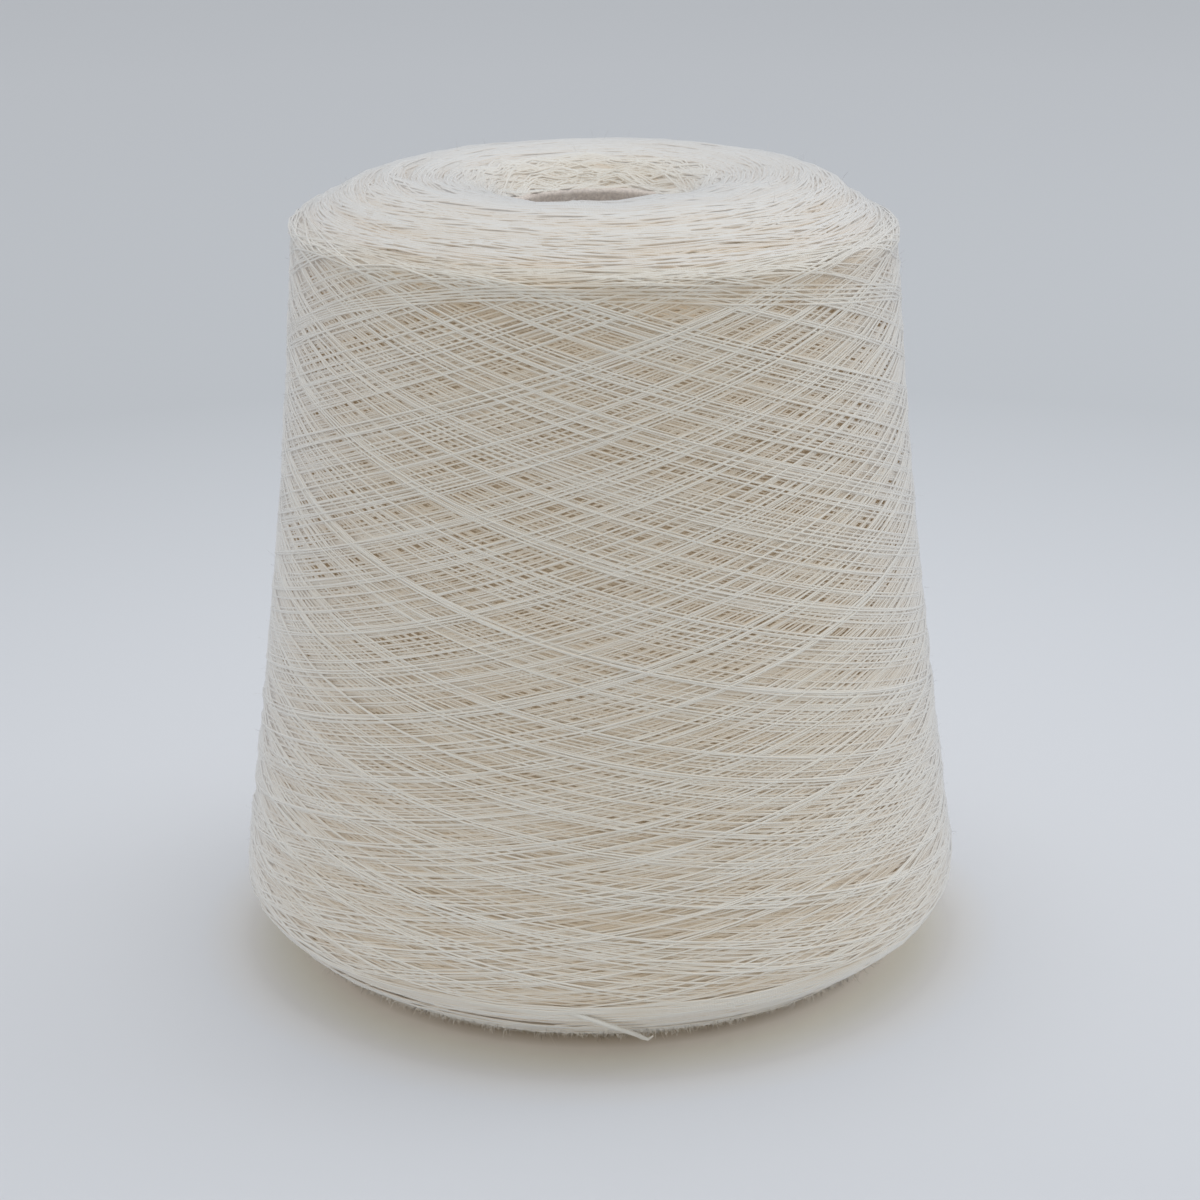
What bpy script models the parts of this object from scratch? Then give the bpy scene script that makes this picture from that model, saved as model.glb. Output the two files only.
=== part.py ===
"""Cone of yarn: a tapered paper core, the yarn wound across it, and the tail end of the yarn.

The cone stands on its wide end. Metres, +Z up along the axis, -Y towards the front where the
tail end lies. The origin is on the floor, in the middle of the base.
"""

import math

import bmesh
import bpy
from mathutils import Vector
from mathutils.geometry import interpolate_bezier

MM = 0.001

# Paper core: a straight tapered tube with a rounded nose.
CORE_HEIGHT = 164.5 * MM
CORE_BASE_RADIUS = 37.4 * MM
CORE_HALF_ANGLE = math.radians(5.95)
CORE_WALL = 3.0 * MM
CORE_NOSE_ROUND = 1.1 * MM
CORE_BASE_CHAMFER = 0.4 * MM
CORE_SEGMENTS = 64
NOSE_STEPS = 4

# Wound yarn: the turned outline is a smooth curve through these stations.
# Each row is (radius, height) from the foot up the side, over the dome and into the dish.
SIDE_STATIONS = (
    (46.0, 0.0),
    (56.0, 0.9),
    (66.0, 3.7),
    (73.4, 8.6),
    (78.6, 13.6),
    (80.0, 18.0),
    (79.4, 25.5),
    (77.7, 37.0),
    (75.6, 53.0),
    (72.6, 77.0),
    (69.8, 101.0),
    (67.4, 125.0),
    (65.5, 149.0),
    (64.7, 160.0),
)
DOME_STATIONS = (
    (65.2, 161.4),
    (64.6, 163.0),
    (62.0, 164.3),
    (58.0, 166.8),
    (52.0, 170.4),
    (45.0, 172.6),
    (38.0, 173.2),
    (30.0, 172.6),
    (24.0, 171.2),
    (20.6, 168.9),
    (18.3, 166.2),
)
CORE_GAP = 0.35 * MM
ROW_STEP = 4.4 * MM
YARN_SEGMENTS = 80
BORE_ROWS = 4

# Low relief of the winding: crossing bands on the side, ridges on the dome, lumps at the hole.
BAND_RELIEF = 0.45 * MM
BANDS_ROUND = 9
BAND_PITCH = 15.0 * MM
WIDE_BANDS_ROUND = 4
WIDE_BAND_PITCH = 33.0 * MM
DOME_RELIEF = 0.35 * MM
DOME_RIDGE_PITCH = 8.0 * MM
LUMP_RELIEF = 0.55 * MM
LUMPS_ROUND = 13
SHOULDER_LEAN = 0.9 * MM
SATIN_TOP = 24.0 * MM
SHOULDER_HEIGHT = 161.0 * MM
SHOULDER_RADIUS = 66.0 * MM
LUMPS_OUTER_RADIUS = 30.0 * MM
LUMPS_INNER_RADIUS = 21.0 * MM

# Tail end: a soft thick end of the yarn that leaves the bottom band.
# Each row is (angle from the front in degrees, towards +X, radius, height).
TAIL_DIAMETER = 1.0 * MM
TAIL_STEP = 2.2 * MM
TAIL_ROUTE = (
    (-21.0, 80.6, 16.2),
    (-15.0, 80.5, 15.8),
    (-9.0, 80.4, 15.2),
    (-4.0, 79.9, 14.1),
    (-0.2, 78.6, 12.2),
    (3.2, 76.0, 9.3),
    (6.0, 72.8, 6.2),
    (7.8, 70.8, 4.2),
    (9.1, 70.9, 5.0),
)

YARN_COLOUR = (0.60, 0.56, 0.48)
TAIL_COLOUR = (0.66, 0.63, 0.56)
PAPER_COLOUR = (0.33, 0.28, 0.26)


def clear_scene():
    """Remove every object, so that the file holds only this model."""
    for thing in list(bpy.data.objects):
        bpy.data.objects.remove(thing, do_unlink=True)


def make_material(name, colour, roughness):
    """Return a matt Principled material of one colour."""
    material = bpy.data.materials.new(name)
    material.use_nodes = True
    shader = material.node_tree.nodes["Principled BSDF"]
    shader.inputs["Base Color"].default_value = (*colour, 1.0)
    shader.inputs["Roughness"].default_value = roughness
    shader.inputs["Metallic"].default_value = 0.0
    return material


def smoothstep(low, high, value):
    """Ease from 0 at low to 1 at high."""
    share = min(max((value - low) / (high - low), 0.0), 1.0)
    return share * share * (3.0 - 2.0 * share)


def smooth_curve(stations, step):
    """Sample a smooth curve through the stations, with about one point in each step of length."""
    last = len(stations) - 1
    directions = [
        (stations[min(index + 1, last)] - stations[max(index - 1, 0)]).normalized()
        for index in range(len(stations))
    ]
    samples = []
    for index in range(last):
        start, end = stations[index], stations[index + 1]
        length = (end - start).length
        leave = start + directions[index] * length / 3.0
        arrive = end - directions[index + 1] * length / 3.0
        pieces = max(1, round(length / step))
        samples.extend(interpolate_bezier(start, leave, arrive, end, pieces + 1)[:-1])
    samples.append(stations[-1])
    return samples


def core_radius(height):
    """Outer radius of the paper core at a height above the floor."""
    return CORE_BASE_RADIUS - height * math.tan(CORE_HALF_ANGLE)


def turn_solid(name, outline, segments, material):
    """Turn a closed outline of (radius, height) points about the axis into one solid."""
    shape = bmesh.new()
    verts = [shape.verts.new((radius, 0.0, height)) for radius, height in outline]
    edges = [shape.edges.new((verts[i - 1], verts[i])) for i in range(len(verts))]
    bmesh.ops.spin(
        shape,
        geom=verts + edges,
        cent=(0.0, 0.0, 0.0),
        axis=(0.0, 0.0, 1.0),
        angle=math.tau,
        steps=segments,
        use_merge=True,
    )
    bmesh.ops.recalc_face_normals(shape, faces=shape.faces)
    mesh = bpy.data.meshes.new(name)
    shape.to_mesh(mesh)
    shape.free()
    mesh.materials.append(material)
    mesh.shade_smooth()
    mesh.set_sharp_from_angle(angle=math.radians(35))
    thing = bpy.data.objects.new(name, mesh)
    bpy.context.scene.collection.objects.link(thing)
    return thing


def paper_core(parent):
    """The tapered paper tube that the yarn is wound on."""
    nose_outer = core_radius(CORE_HEIGHT)
    base_inner = CORE_BASE_RADIUS - CORE_WALL
    outline = [
        (base_inner + CORE_BASE_CHAMFER, 0.0),
        (CORE_BASE_RADIUS - CORE_BASE_CHAMFER, 0.0),
        (core_radius(CORE_BASE_CHAMFER), CORE_BASE_CHAMFER),
    ]
    round_height = CORE_HEIGHT - CORE_NOSE_ROUND
    for step in range(NOSE_STEPS + 1):
        turn = math.radians(90) * step / NOSE_STEPS
        inset = CORE_NOSE_ROUND * (1.0 - math.cos(turn))
        outline.append((nose_outer - inset, round_height + CORE_NOSE_ROUND * math.sin(turn)))
    for step in range(NOSE_STEPS + 1):
        turn = math.radians(90) * (1.0 - step / NOSE_STEPS)
        inset = CORE_WALL - CORE_NOSE_ROUND * (1.0 - math.cos(turn))
        outline.append((nose_outer - inset, round_height + CORE_NOSE_ROUND * math.sin(turn)))
    outline.append((core_radius(CORE_BASE_CHAMFER) - CORE_WALL, CORE_BASE_CHAMFER))
    material = make_material("grey paper", PAPER_COLOUR, 0.9)
    core = turn_solid("paper_core", outline, CORE_SEGMENTS, material)
    core.parent = parent
    return core


def outline_point(row):
    """A point of the turned outline from its radius and height in millimetres."""
    return Vector((row[0], 0.0, row[1])) * MM


def yarn_outline():
    """The closed outline of the wound yarn: foot, side, dome and dish, then back down the bore."""
    side = smooth_curve([outline_point(row) for row in SIDE_STATIONS], ROW_STEP)
    dome = smooth_curve([outline_point(row) for row in DOME_STATIONS], ROW_STEP)
    outline = [(point.x, point.z) for point in side + dome]
    lip_radius = outline[-1][0]
    bore_top = CORE_HEIGHT + CORE_GAP
    outline.append((lip_radius, bore_top))
    for row in range(BORE_ROWS + 1):
        height = bore_top * (1.0 - row / BORE_ROWS)
        outline.append((core_radius(height) + CORE_GAP, height))
    return outline


def side_relief(angle, height):
    """Crossing bands of parallel turns, highest where two bands cross."""
    rise = math.tau * height / BAND_PITCH
    wide_rise = math.tau * height / WIDE_BAND_PITCH
    sway = 0.7 * math.sin(2.0 * angle + 0.4)
    bands = max(
        math.cos(BANDS_ROUND * angle + rise + sway),
        math.cos(BANDS_ROUND * angle - rise + 1.1),
    )
    wide_bands = max(
        math.cos(WIDE_BANDS_ROUND * angle + wide_rise),
        math.cos((WIDE_BANDS_ROUND + 1) * angle - wide_rise + 0.6),
    )
    fade = smoothstep(SATIN_TOP, SATIN_TOP + 14.0 * MM, height)
    fade *= 1.0 - smoothstep(SHOULDER_HEIGHT - 9.0 * MM, SHOULDER_HEIGHT, height)
    return BAND_RELIEF * fade * (0.65 * bands + 0.35 * wide_bands - 0.4)


def dome_relief(angle, radius):
    """Near-circular ridges of the end turns, with lumps where they drop into the hole."""
    drift = 2.0 * angle + 1.2 * math.sin(3.0 * angle)
    ridges = math.cos(math.tau * radius / DOME_RIDGE_PITCH + drift)
    lumps = math.cos(LUMPS_ROUND * angle + 1.5 * math.sin(2.0 * angle))
    near_hole = smoothstep(LUMPS_OUTER_RADIUS, LUMPS_INNER_RADIUS, radius)
    near_edge = smoothstep(SHOULDER_RADIUS, SHOULDER_RADIUS - 4.0 * MM, radius)
    return DOME_RELIEF * near_edge * ridges + LUMP_RELIEF * near_hole * lumps


def shoulder_lean(angle, radius, height):
    """The shoulder stands a little higher on the -X side than on the +X side."""
    outer = smoothstep(48.0 * MM, 62.0 * MM, radius)
    upper = smoothstep(148.0 * MM, SHOULDER_HEIGHT, height)
    return -SHOULDER_LEAN * outer * upper * math.cos(angle)


def relief_shift(vert):
    """How far a point of the turned yarn moves to take up the relief of the winding."""
    radius = math.hypot(vert.co.x, vert.co.y)
    angle = math.atan2(vert.co.y, vert.co.x)
    in_bore = radius < core_radius(vert.co.z) + 2.0 * CORE_GAP
    if in_bore and vert.co.z < CORE_HEIGHT + 2.0 * CORE_GAP:
        return Vector()
    if vert.co.z > SHOULDER_HEIGHT:
        relief = dome_relief(angle, radius)
    else:
        relief = side_relief(angle, vert.co.z)
    lean = shoulder_lean(angle, radius, vert.co.z)
    return vert.normal * relief + Vector((0.0, 0.0, lean))


def yarn_body(parent):
    """The wound yarn: one turned solid with the low relief of its bands."""
    material = make_material("ecru yarn", YARN_COLOUR, 0.95)
    body = turn_solid("yarn_body", yarn_outline(), YARN_SEGMENTS, material)
    shape = bmesh.new()
    shape.from_mesh(body.data)
    shape.normal_update()
    shifts = [relief_shift(vert) for vert in shape.verts]
    for vert, shift in zip(shape.verts, shifts):
        vert.co += shift
    bmesh.ops.triangulate(shape, faces=shape.faces)
    shape.to_mesh(body.data)
    shape.free()
    body.parent = parent
    return body


def tail_point(row):
    """A point of the tail's route from its angle, radius and height."""
    turn = math.radians(row[0])
    radius = row[1] * MM
    return Vector((radius * math.sin(turn), -radius * math.cos(turn), row[2] * MM))


def loose_end(parent):
    """The tail end of the yarn: a round soft strand that lies on the band and hangs past it."""
    route = smooth_curve([tail_point(row) for row in TAIL_ROUTE], TAIL_STEP)
    curve = bpy.data.curves.new("loose_end", "CURVE")
    curve.dimensions = "3D"
    curve.bevel_depth = TAIL_DIAMETER / 2.0
    curve.bevel_resolution = 2
    curve.use_fill_caps = True
    spline = curve.splines.new("POLY")
    spline.points.add(len(route) - 1)
    for point, place in zip(spline.points, route):
        point.co = (*place, 1.0)
    curve.materials.append(make_material("soft yarn end", TAIL_COLOUR, 0.95))
    strand = bpy.data.objects.new("loose_end", curve)
    bpy.context.scene.collection.objects.link(strand)
    strand.parent = parent
    return strand


def main():
    """Build the core, wind the yarn on it and lay the tail end."""
    clear_scene()
    root = bpy.data.objects.new("cone_of_yarn", None)
    bpy.context.scene.collection.objects.link(root)
    paper_core(root)
    yarn_body(root)
    loose_end(root)


main()
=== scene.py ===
"""Looks of the cone of yarn: the wound turns, the paper core, the tail end and the studio.

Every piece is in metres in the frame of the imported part: +Z is up along the axis, -Y is the
front, where the tail end lies. The turns are laid one after another on the turned outline, each
on what is already there, as a winder lays them.
"""

import logging
import math
from collections.abc import Iterator, Mapping, Sequence
from dataclasses import dataclass, field
from enum import Enum
import bpy
import numpy as np
from mathutils import Matrix, Vector
from mathutils.geometry import interpolate_bezier


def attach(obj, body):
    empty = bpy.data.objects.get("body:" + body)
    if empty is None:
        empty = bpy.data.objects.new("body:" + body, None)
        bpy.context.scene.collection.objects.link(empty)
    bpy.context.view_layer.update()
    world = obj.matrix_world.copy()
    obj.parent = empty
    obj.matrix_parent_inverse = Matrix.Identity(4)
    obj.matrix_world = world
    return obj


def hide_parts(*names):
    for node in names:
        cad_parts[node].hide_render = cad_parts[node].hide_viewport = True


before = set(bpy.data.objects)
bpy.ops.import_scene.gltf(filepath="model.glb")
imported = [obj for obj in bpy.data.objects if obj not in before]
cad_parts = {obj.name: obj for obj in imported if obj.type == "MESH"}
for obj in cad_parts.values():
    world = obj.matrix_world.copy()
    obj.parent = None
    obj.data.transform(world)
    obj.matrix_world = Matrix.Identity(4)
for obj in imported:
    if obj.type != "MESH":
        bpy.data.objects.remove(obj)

MM = 0.001
ROOT = "root"
BAKE_UV = "OFBake"
STRAND_UV = "Strand"
Row = tuple[float, float]
Colour = tuple[float, float, float, float]
Socket = bpy.types.NodeSocket
BLACK: Colour = (0.0, 0.0, 0.0, 1.0)
log = logging.getLogger("cone")


class Slot(Enum):
    """The material slots."""

    YARN = "yarn"
    YARN_END = "yarn_end"
    PAPER = "paper"


# ---------------------------------------------------------------------------
# Small helpers
# ---------------------------------------------------------------------------


def ease(low: float, high: float, value: np.ndarray) -> np.ndarray:
    """Ease from 0 at low to 1 at high.

    Args:
        low: Where the rise starts.
        high: Where it ends. It may be less than low.
        value: The values to map.

    Returns:
        The eased shares.
    """
    share = np.clip((np.asarray(value, float) - low) / (high - low), 0.0, 1.0)
    return share * share * (3.0 - 2.0 * share)


def smooth_line(stations: Sequence[tuple[float, ...]], step: float) -> np.ndarray:
    """Sample a smooth curve through the stations.

    Args:
        stations: Points of two or three coordinates.
        step: About how far apart the samples lie, in the stations' unit.

    Returns:
        The samples, one row each.
    """
    points = [Vector(row).to_3d() for row in stations]
    last = len(points) - 1
    ways = [
        (points[min(index + 1, last)] - points[max(index - 1, 0)]).normalized()
        for index in range(len(points))
    ]
    line: list[Vector] = []
    for index in range(last):
        start, end = points[index], points[index + 1]
        reach = (end - start).length / 3.0
        pieces = max(1, round(3.0 * reach / step))
        leave, arrive = start + ways[index] * reach, end - ways[index + 1] * reach
        line.extend(interpolate_bezier(start, leave, arrive, end, pieces + 1)[:-1])
    line.append(points[-1])
    return np.array(line)[:, : len(stations[0])]


def upper_hull(height: np.ndarray, bend: float) -> np.ndarray:
    """The lowest line over the heights that bends down no tighter than a given parabola.

    Args:
        height: Heights of what lies beneath, at even steps of one unit.
        bend: Half the curvature that the line may have, in height per squared unit.

    Returns:
        The line's heights.
    """
    at = np.arange(len(height), dtype=float)
    flat = height - bend * at * at
    hull_at: list[float] = []
    hull: list[float] = []
    for x, y in zip(at.tolist(), flat.tolist()):
        while len(hull) > 1 and (hull[-1] - hull[-2]) * (x - hull_at[-2]) <= (
            y - hull[-2]
        ) * (hull_at[-1] - hull_at[-2]):
            hull_at.pop()
            hull.pop()
        hull_at.append(x)
        hull.append(y)
    return np.interp(at, hull_at, hull) + bend * at * at


def deselect() -> None:
    """Leave edit mode with nothing selected."""
    if bpy.context.object is not None and bpy.context.object.mode != "OBJECT":
        bpy.ops.object.mode_set(mode="OBJECT")
    bpy.ops.object.select_all(action="DESELECT")


def write_values(mesh: bpy.types.Mesh, name: str, values: np.ndarray) -> None:
    """Write numbers or vectors to a mesh, one for each of its points.

    Args:
        mesh: The mesh.
        name: The attribute's name.
        values: One number, or one row of three, for each point.
    """
    kind, key = ("FLOAT", "value") if values.ndim == 1 else ("FLOAT_VECTOR", "vector")
    layer = mesh.attributes.new(name, kind, "POINT")
    layer.data.foreach_set(key, values.astype(np.float32).ravel())


def seat(thing: bpy.types.Object, slot: Slot, *nodes: str) -> bpy.types.Object:
    """Let a piece ride on the cone, and hide the CAD nodes that it stands for.

    Args:
        thing: The finished piece.
        slot: Not used.
        nodes: The CAD nodes that it stands for.

    Returns:
        The same piece.
    """
    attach(thing, ROOT)
    if nodes:
        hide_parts(*nodes)
    return thing


# ---------------------------------------------------------------------------
# Shader node groups and finishes
# ---------------------------------------------------------------------------


@dataclass
class NodeSheet:
    """A node tree with short ways to add and link its nodes."""

    tree: bpy.types.NodeTree

    def add(self, kind: str, **values: object) -> bpy.types.Node:
        """Add a node and set its properties.

        Args:
            kind: The node's type, which is a shader node's unless it starts with Node.
            values: Properties by name.

        Returns:
            The new node.
        """
        node = self.tree.nodes.new(kind if kind.startswith("Node") else f"ShaderNode{kind}")
        for name, value in values.items():
            setattr(node, name, value)
        return node

    def feed(self, socket: Socket, value: object) -> None:
        """Set a socket from another socket or from a plain value."""
        if isinstance(value, Socket):
            self.tree.links.new(value, socket)
        else:
            socket.default_value = value

    def fill(self, node: bpy.types.Node, *values: object) -> Socket:
        """Feed a node's first sockets. Returns its first result."""
        for socket, value in zip(node.inputs, values):
            self.feed(socket, value)
        return node.outputs[0]

    def math(self, operation: str, *values: object, clamp: bool = False) -> Socket:
        """A Math node's result for sockets or numbers."""
        return self.fill(self.add("Math", operation=operation, use_clamp=clamp), *values)

    def mix(self, share: object, first: object, second: object) -> Socket:
        """A colour mix of sockets or colours."""
        node = self.add("Mix", data_type="RGBA")
        for index, value in zip((0, 6, 7), (share, first, second)):
            self.feed(node.inputs[index], value)
        return node.outputs[2]

    def noise(self, vector: object, scale: object, detail: float = 2.0) -> Socket:
        """A Noise Texture's factor."""
        node = self.add("TexNoise")
        for name, value in (("Vector", vector), ("Scale", scale), ("Detail", detail)):
            self.feed(node.inputs[name], value)
        return node.outputs["Fac"]

    def span(self, value: object, low: object, high: object, start: float, end: float) -> Socket:
        """Map low..high to start..end, held at the ends."""
        return self.fill(self.add("MapRange"), value, low, high, start, end)

    def parts(self, vector: Socket) -> list[Socket]:
        """A vector's three parts."""
        node = self.add("SeparateXYZ")
        self.feed(node.inputs[0], vector)
        return list(node.outputs)

    def place(self) -> Socket:
        """The Object coordinates."""
        return self.add("TexCoord").outputs["Object"]

    def attribute(self, name: str, output: str = "Fac") -> Socket:
        """A mesh attribute's value."""
        return self.add("Attribute", attribute_name=name).outputs[output]

    def group(self, tree: bpy.types.NodeTree, **values: object) -> Socket:
        """A node group's result for its own values."""
        node = self.add("Group", node_tree=tree)
        for name, value in values.items():
            self.feed(node.inputs[name], value)
        return node.outputs[0]


def new_group(
    name: str, output: str, kind: str, **inputs: tuple[str, object]
) -> tuple[NodeSheet, Mapping[str, Socket], bpy.types.Node]:
    """Start a shader node group with one output.

    Args:
        name: The group's name.
        output: The output's name.
        kind: Its socket's kind: Float, Vector or Color.
        inputs: Socket kind and default value by name. The value None leaves Blender's own.

    Returns:
        Its node sheet, its inputs' sockets by name, and its output node.
    """
    tree = bpy.data.node_groups.new(name, "ShaderNodeTree")
    for label, (given_kind, value) in inputs.items():
        socket = tree.interface.new_socket(
            label, in_out="INPUT", socket_type=f"NodeSocket{given_kind}"
        )
        if value is not None:
            socket.default_value = value
    tree.interface.new_socket(output, in_out="OUTPUT", socket_type=f"NodeSocket{kind}")
    sheet = NodeSheet(tree)
    return sheet, sheet.add("NodeGroupInput").outputs, sheet.add("NodeGroupOutput")


def ply_group() -> bpy.types.NodeTree:
    """The twist of the plies along a strand, as a height."""
    sheet, given, put = new_group(
        "Ply twist", "Height", "Float",
        Strand=("Vector", None), Pitch=("Float", None), Fuzz=("Float", 0.35),
    )
    along, side, _ = sheet.parts(given["Strand"])
    phase = sheet.math("ADD", sheet.math("DIVIDE", along, given["Pitch"]), side)
    ridge = sheet.math("ABSOLUTE", sheet.math("SINE", sheet.math("MULTIPLY", phase, math.tau)))
    fuzz = sheet.math("MULTIPLY", sheet.noise(given["Strand"], 9.0, 3.0), given["Fuzz"])
    sheet.feed(put.inputs[0], sheet.math("ADD", ridge, fuzz))
    return sheet.tree


def mottle_group() -> bpy.types.NodeTree:
    """Soft patches of two colours by place, for yarn and paper."""
    sheet, given, put = new_group(
        "Soft mottle", "Color", "Color",
        Light=("Color", None), Dark=("Color", None), Scale=("Float", None), Spread=("Float", None),
    )
    half = sheet.math("MULTIPLY", given["Spread"], 0.5)
    low, high = sheet.math("SUBTRACT", 0.5, half), sheet.math("ADD", 0.5, half)
    patch = sheet.span(sheet.noise(sheet.place(), given["Scale"], 3.0), low, high, 0.0, 1.0)
    sheet.feed(put.inputs[0], sheet.mix(patch, given["Light"], given["Dark"]))
    return sheet.tree


def thread_ridge(sheet: NodeSheet, phase: Socket, share: object) -> tuple[Socket, Socket]:
    """The round ridge of each thread in a row of threads.

    Args:
        sheet: The node sheet to build on.
        phase: Counts the threads, one for each whole number.
        share: How much of its pitch a thread fills.

    Returns:
        The ridge from 0 to 1, and the thread's number.
    """
    off = sheet.math("SUBTRACT", sheet.math("FRACT", phase), 0.5)
    off = sheet.math("DIVIDE", sheet.math("MULTIPLY", off, 2.0), share)
    inside = sheet.math("SUBTRACT", 1.0, sheet.math("MULTIPLY", off, off), clamp=True)
    return sheet.math("SQRT", inside), sheet.math("FLOOR", phase)


def crossing_group() -> bpy.types.NodeTree:
    """Bundles of fine turns that cross, for the yarn beneath the side strands."""
    sheet, given, put = new_group(
        "Crossing turns", "Height", "Float",
        Swing=("Float", None), Round=("Float", 165.0), Share=("Float", 0.7),
    )
    x, y, z = sheet.parts(sheet.place())
    turn, rise = sheet.math("ARCTAN2", y, x), sheet.math("MULTIPLY", z, 45.0)
    heights = []
    for index, way in enumerate(("SUBTRACT", "ADD")):
        wound = sheet.math("MULTIPLY", sheet.math(way, turn, given["Swing"]), given["Round"])
        phase = sheet.math("DIVIDE", wound, math.tau)
        ridge, number = thread_ridge(sheet, phase, given["Share"])
        lane = sheet.math("MULTIPLY", number, 0.37)
        spot = sheet.fill(sheet.add("CombineXYZ"), lane, rise, 7.0 * index)
        level = sheet.span(sheet.noise(spot, 1.0), 0.3, 0.7, 0.25, 1.0)
        heights.append(sheet.math("MULTIPLY", ridge, level))
    sheet.feed(put.inputs[0], sheet.math("MAXIMUM", *heights))
    return sheet.tree


def ring_group() -> bpy.types.NodeTree:
    """Fine near-circular turns, for the yarn beneath the end turns."""
    sheet, given, put = new_group(
        "Ring turns", "Height", "Float",
        Along=("Float", None), Pitch=("Float", 0.55), Share=("Float", 0.9),
    )
    place = sheet.place()
    sway = sheet.math("MULTIPLY", sheet.noise(place, 38.0), 5.0)
    phase = sheet.math("ADD", sheet.math("DIVIDE", given["Along"], given["Pitch"]), sway)
    ridge, number = thread_ridge(sheet, phase, given["Share"])
    shift = sheet.fill(sheet.add("CombineXYZ"), sheet.math("MULTIPLY", number, 0.01))
    spot = sheet.fill(sheet.add("VectorMath", operation="ADD"), place, shift)
    level = sheet.span(sheet.noise(spot, 90.0), 0.3, 0.7, 0.3, 1.0)
    sheet.feed(put.inputs[0], sheet.math("MULTIPLY", ridge, level))
    return sheet.tree


@dataclass(frozen=True)
class Effects:
    """The shared node groups."""

    ply: bpy.types.NodeTree = field(default_factory=ply_group)
    mottle: bpy.types.NodeTree = field(default_factory=mottle_group)
    crossing: bpy.types.NodeTree = field(default_factory=crossing_group)
    rings: bpy.types.NodeTree = field(default_factory=ring_group)


@dataclass
class Surface(NodeSheet):
    """The nodes of one material, with its Principled shader."""

    material: bpy.types.Material
    shader: bpy.types.Node

    @classmethod
    def new(cls, name: str) -> "Surface":
        """Start a material, which doesn't serve as a lamp."""
        material = bpy.data.materials.new(name)
        material.use_nodes = True
        material.cycles.emission_sampling = "NONE"
        return cls(material.node_tree, material, material.node_tree.nodes["Principled BSDF"])

    def put(self, **values: object) -> None:
        """Feed the shader's sockets, each named with a low line for a space."""
        for name, value in values.items():
            self.feed(self.shader.inputs[name.replace("_", " ")], value)

    def bump(self, height: Socket, strength: float, distance: float) -> None:
        """Let heights turn the shader's normals.

        Args:
            height: The heights.
            strength: The share of the effect.
            distance: How high a height of 1 is.
        """
        node = self.add("Bump")
        for name, value in (("Strength", strength), ("Distance", distance), ("Height", height)):
            self.feed(node.inputs[name], value)
        self.put(Normal=node.outputs["Normal"])


@dataclass(frozen=True)
class YarnFinish:
    """Ecru yarn: light at the top of a strand, with painted shade in tan where it lies deep, and a
    veil of painted fuzz glow towards the form's edge.

    The painted glow is emitted light that stands in for the light the yarn passes on where it lies
    deep, and the painted bounce the same where it lies high.
    """

    name: str = "ecru yarn"
    light: Colour = (0.905, 0.89, 0.835, 1.0)
    warm: Colour = (0.89, 0.86, 0.77, 1.0)
    # Painted shade: the colour that yarn takes where it lies deep.
    deep: Colour = (0.57, 0.47, 0.34, 1.0)
    # Painted glow: light that deep-lying yarn emits in its shade.
    painted_glow: Colour = (0.088, 0.064, 0.040, 1.0)
    # Painted bounce: light that high-lying yarn emits; black but in the hole.
    painted_bounce: Colour = BLACK
    # Painted fuzz glow: the emitted colour that takes the place of the lit colour towards the
    # form's edge, and its share.
    fuzz: Colour = (0.50, 0.505, 0.515, 1.0)
    fuzz_glow_share: float = 0.85
    ply_pitch: float = 1.1
    ply_bump: float = 0.35

    def painted_fuzz_glow(self, surface: Surface) -> Socket:
        """How much the painted fuzz glow takes the place of the lit colour: more towards the form's
        edge, less where it faces down, away from the lamps.
        """
        form = surface.attribute("form", "Vector")
        weight = surface.add("LayerWeight")
        surface.feed(weight.inputs["Normal"], form)
        edge = surface.math("POWER", weight.outputs["Facing"], 2.0)
        edge = surface.math("MULTIPLY", edge, self.fuzz_glow_share)
        lit = surface.span(surface.parts(form)[2], -0.6, 0.1, 0.1, 1.0)
        return surface.math("MULTIPLY", edge, lit)

    def build(self, effects: Effects) -> bpy.types.Material:
        """Make the material.

        Args:
            effects: The shared node groups.

        Returns:
            The material.
        """
        surface = Surface.new(self.name)
        mottled = surface.group(
            effects.mottle, Light=self.light, Dark=self.warm, Scale=45.0, Spread=0.6
        )
        tone = surface.span(surface.attribute("tone"), 0.0, 1.0, 0.0, 0.55)
        # Painted shade: deep-lying yarn and the lower corners of each tube turn towards the deep
        # colour.
        painted_shade = surface.math("MINIMUM", surface.attribute("painted_shade"), 1.0)
        tone_with_painted_shade = surface.mix(painted_shade, surface.mix(tone, mottled, self.warm), self.deep)
        painted_fuzz_glow = self.painted_fuzz_glow(surface)
        strand = surface.add("UVMap", uv_map=STRAND_UV).outputs["UV"]
        ply = surface.group(effects.ply, Strand=strand, Pitch=self.ply_pitch)
        surface.bump(ply, self.ply_bump, 0.08 * MM)
        # Towards the form's edge the base colour fades to black and the painted fuzz glow is
        # emitted in its place; deep-lying yarn emits the painted glow, high-lying yarn the painted
        # bounce.
        surface.put(
            Base_Color=surface.mix(painted_fuzz_glow, tone_with_painted_shade, BLACK),
            Emission_Color=surface.mix(painted_fuzz_glow, surface.mix(painted_shade, self.painted_bounce, self.painted_glow), self.fuzz),
            Emission_Strength=1.0,
            Roughness=0.9,
            Specular_IOR_Level=0.15,
            Sheen_Weight=0.8,
            Sheen_Roughness=0.5,
        )
        return surface.material


class Pattern(Enum):
    """How the yarn beneath the strands runs."""

    CROSSING = "crossing"
    RINGS = "rings"


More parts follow.
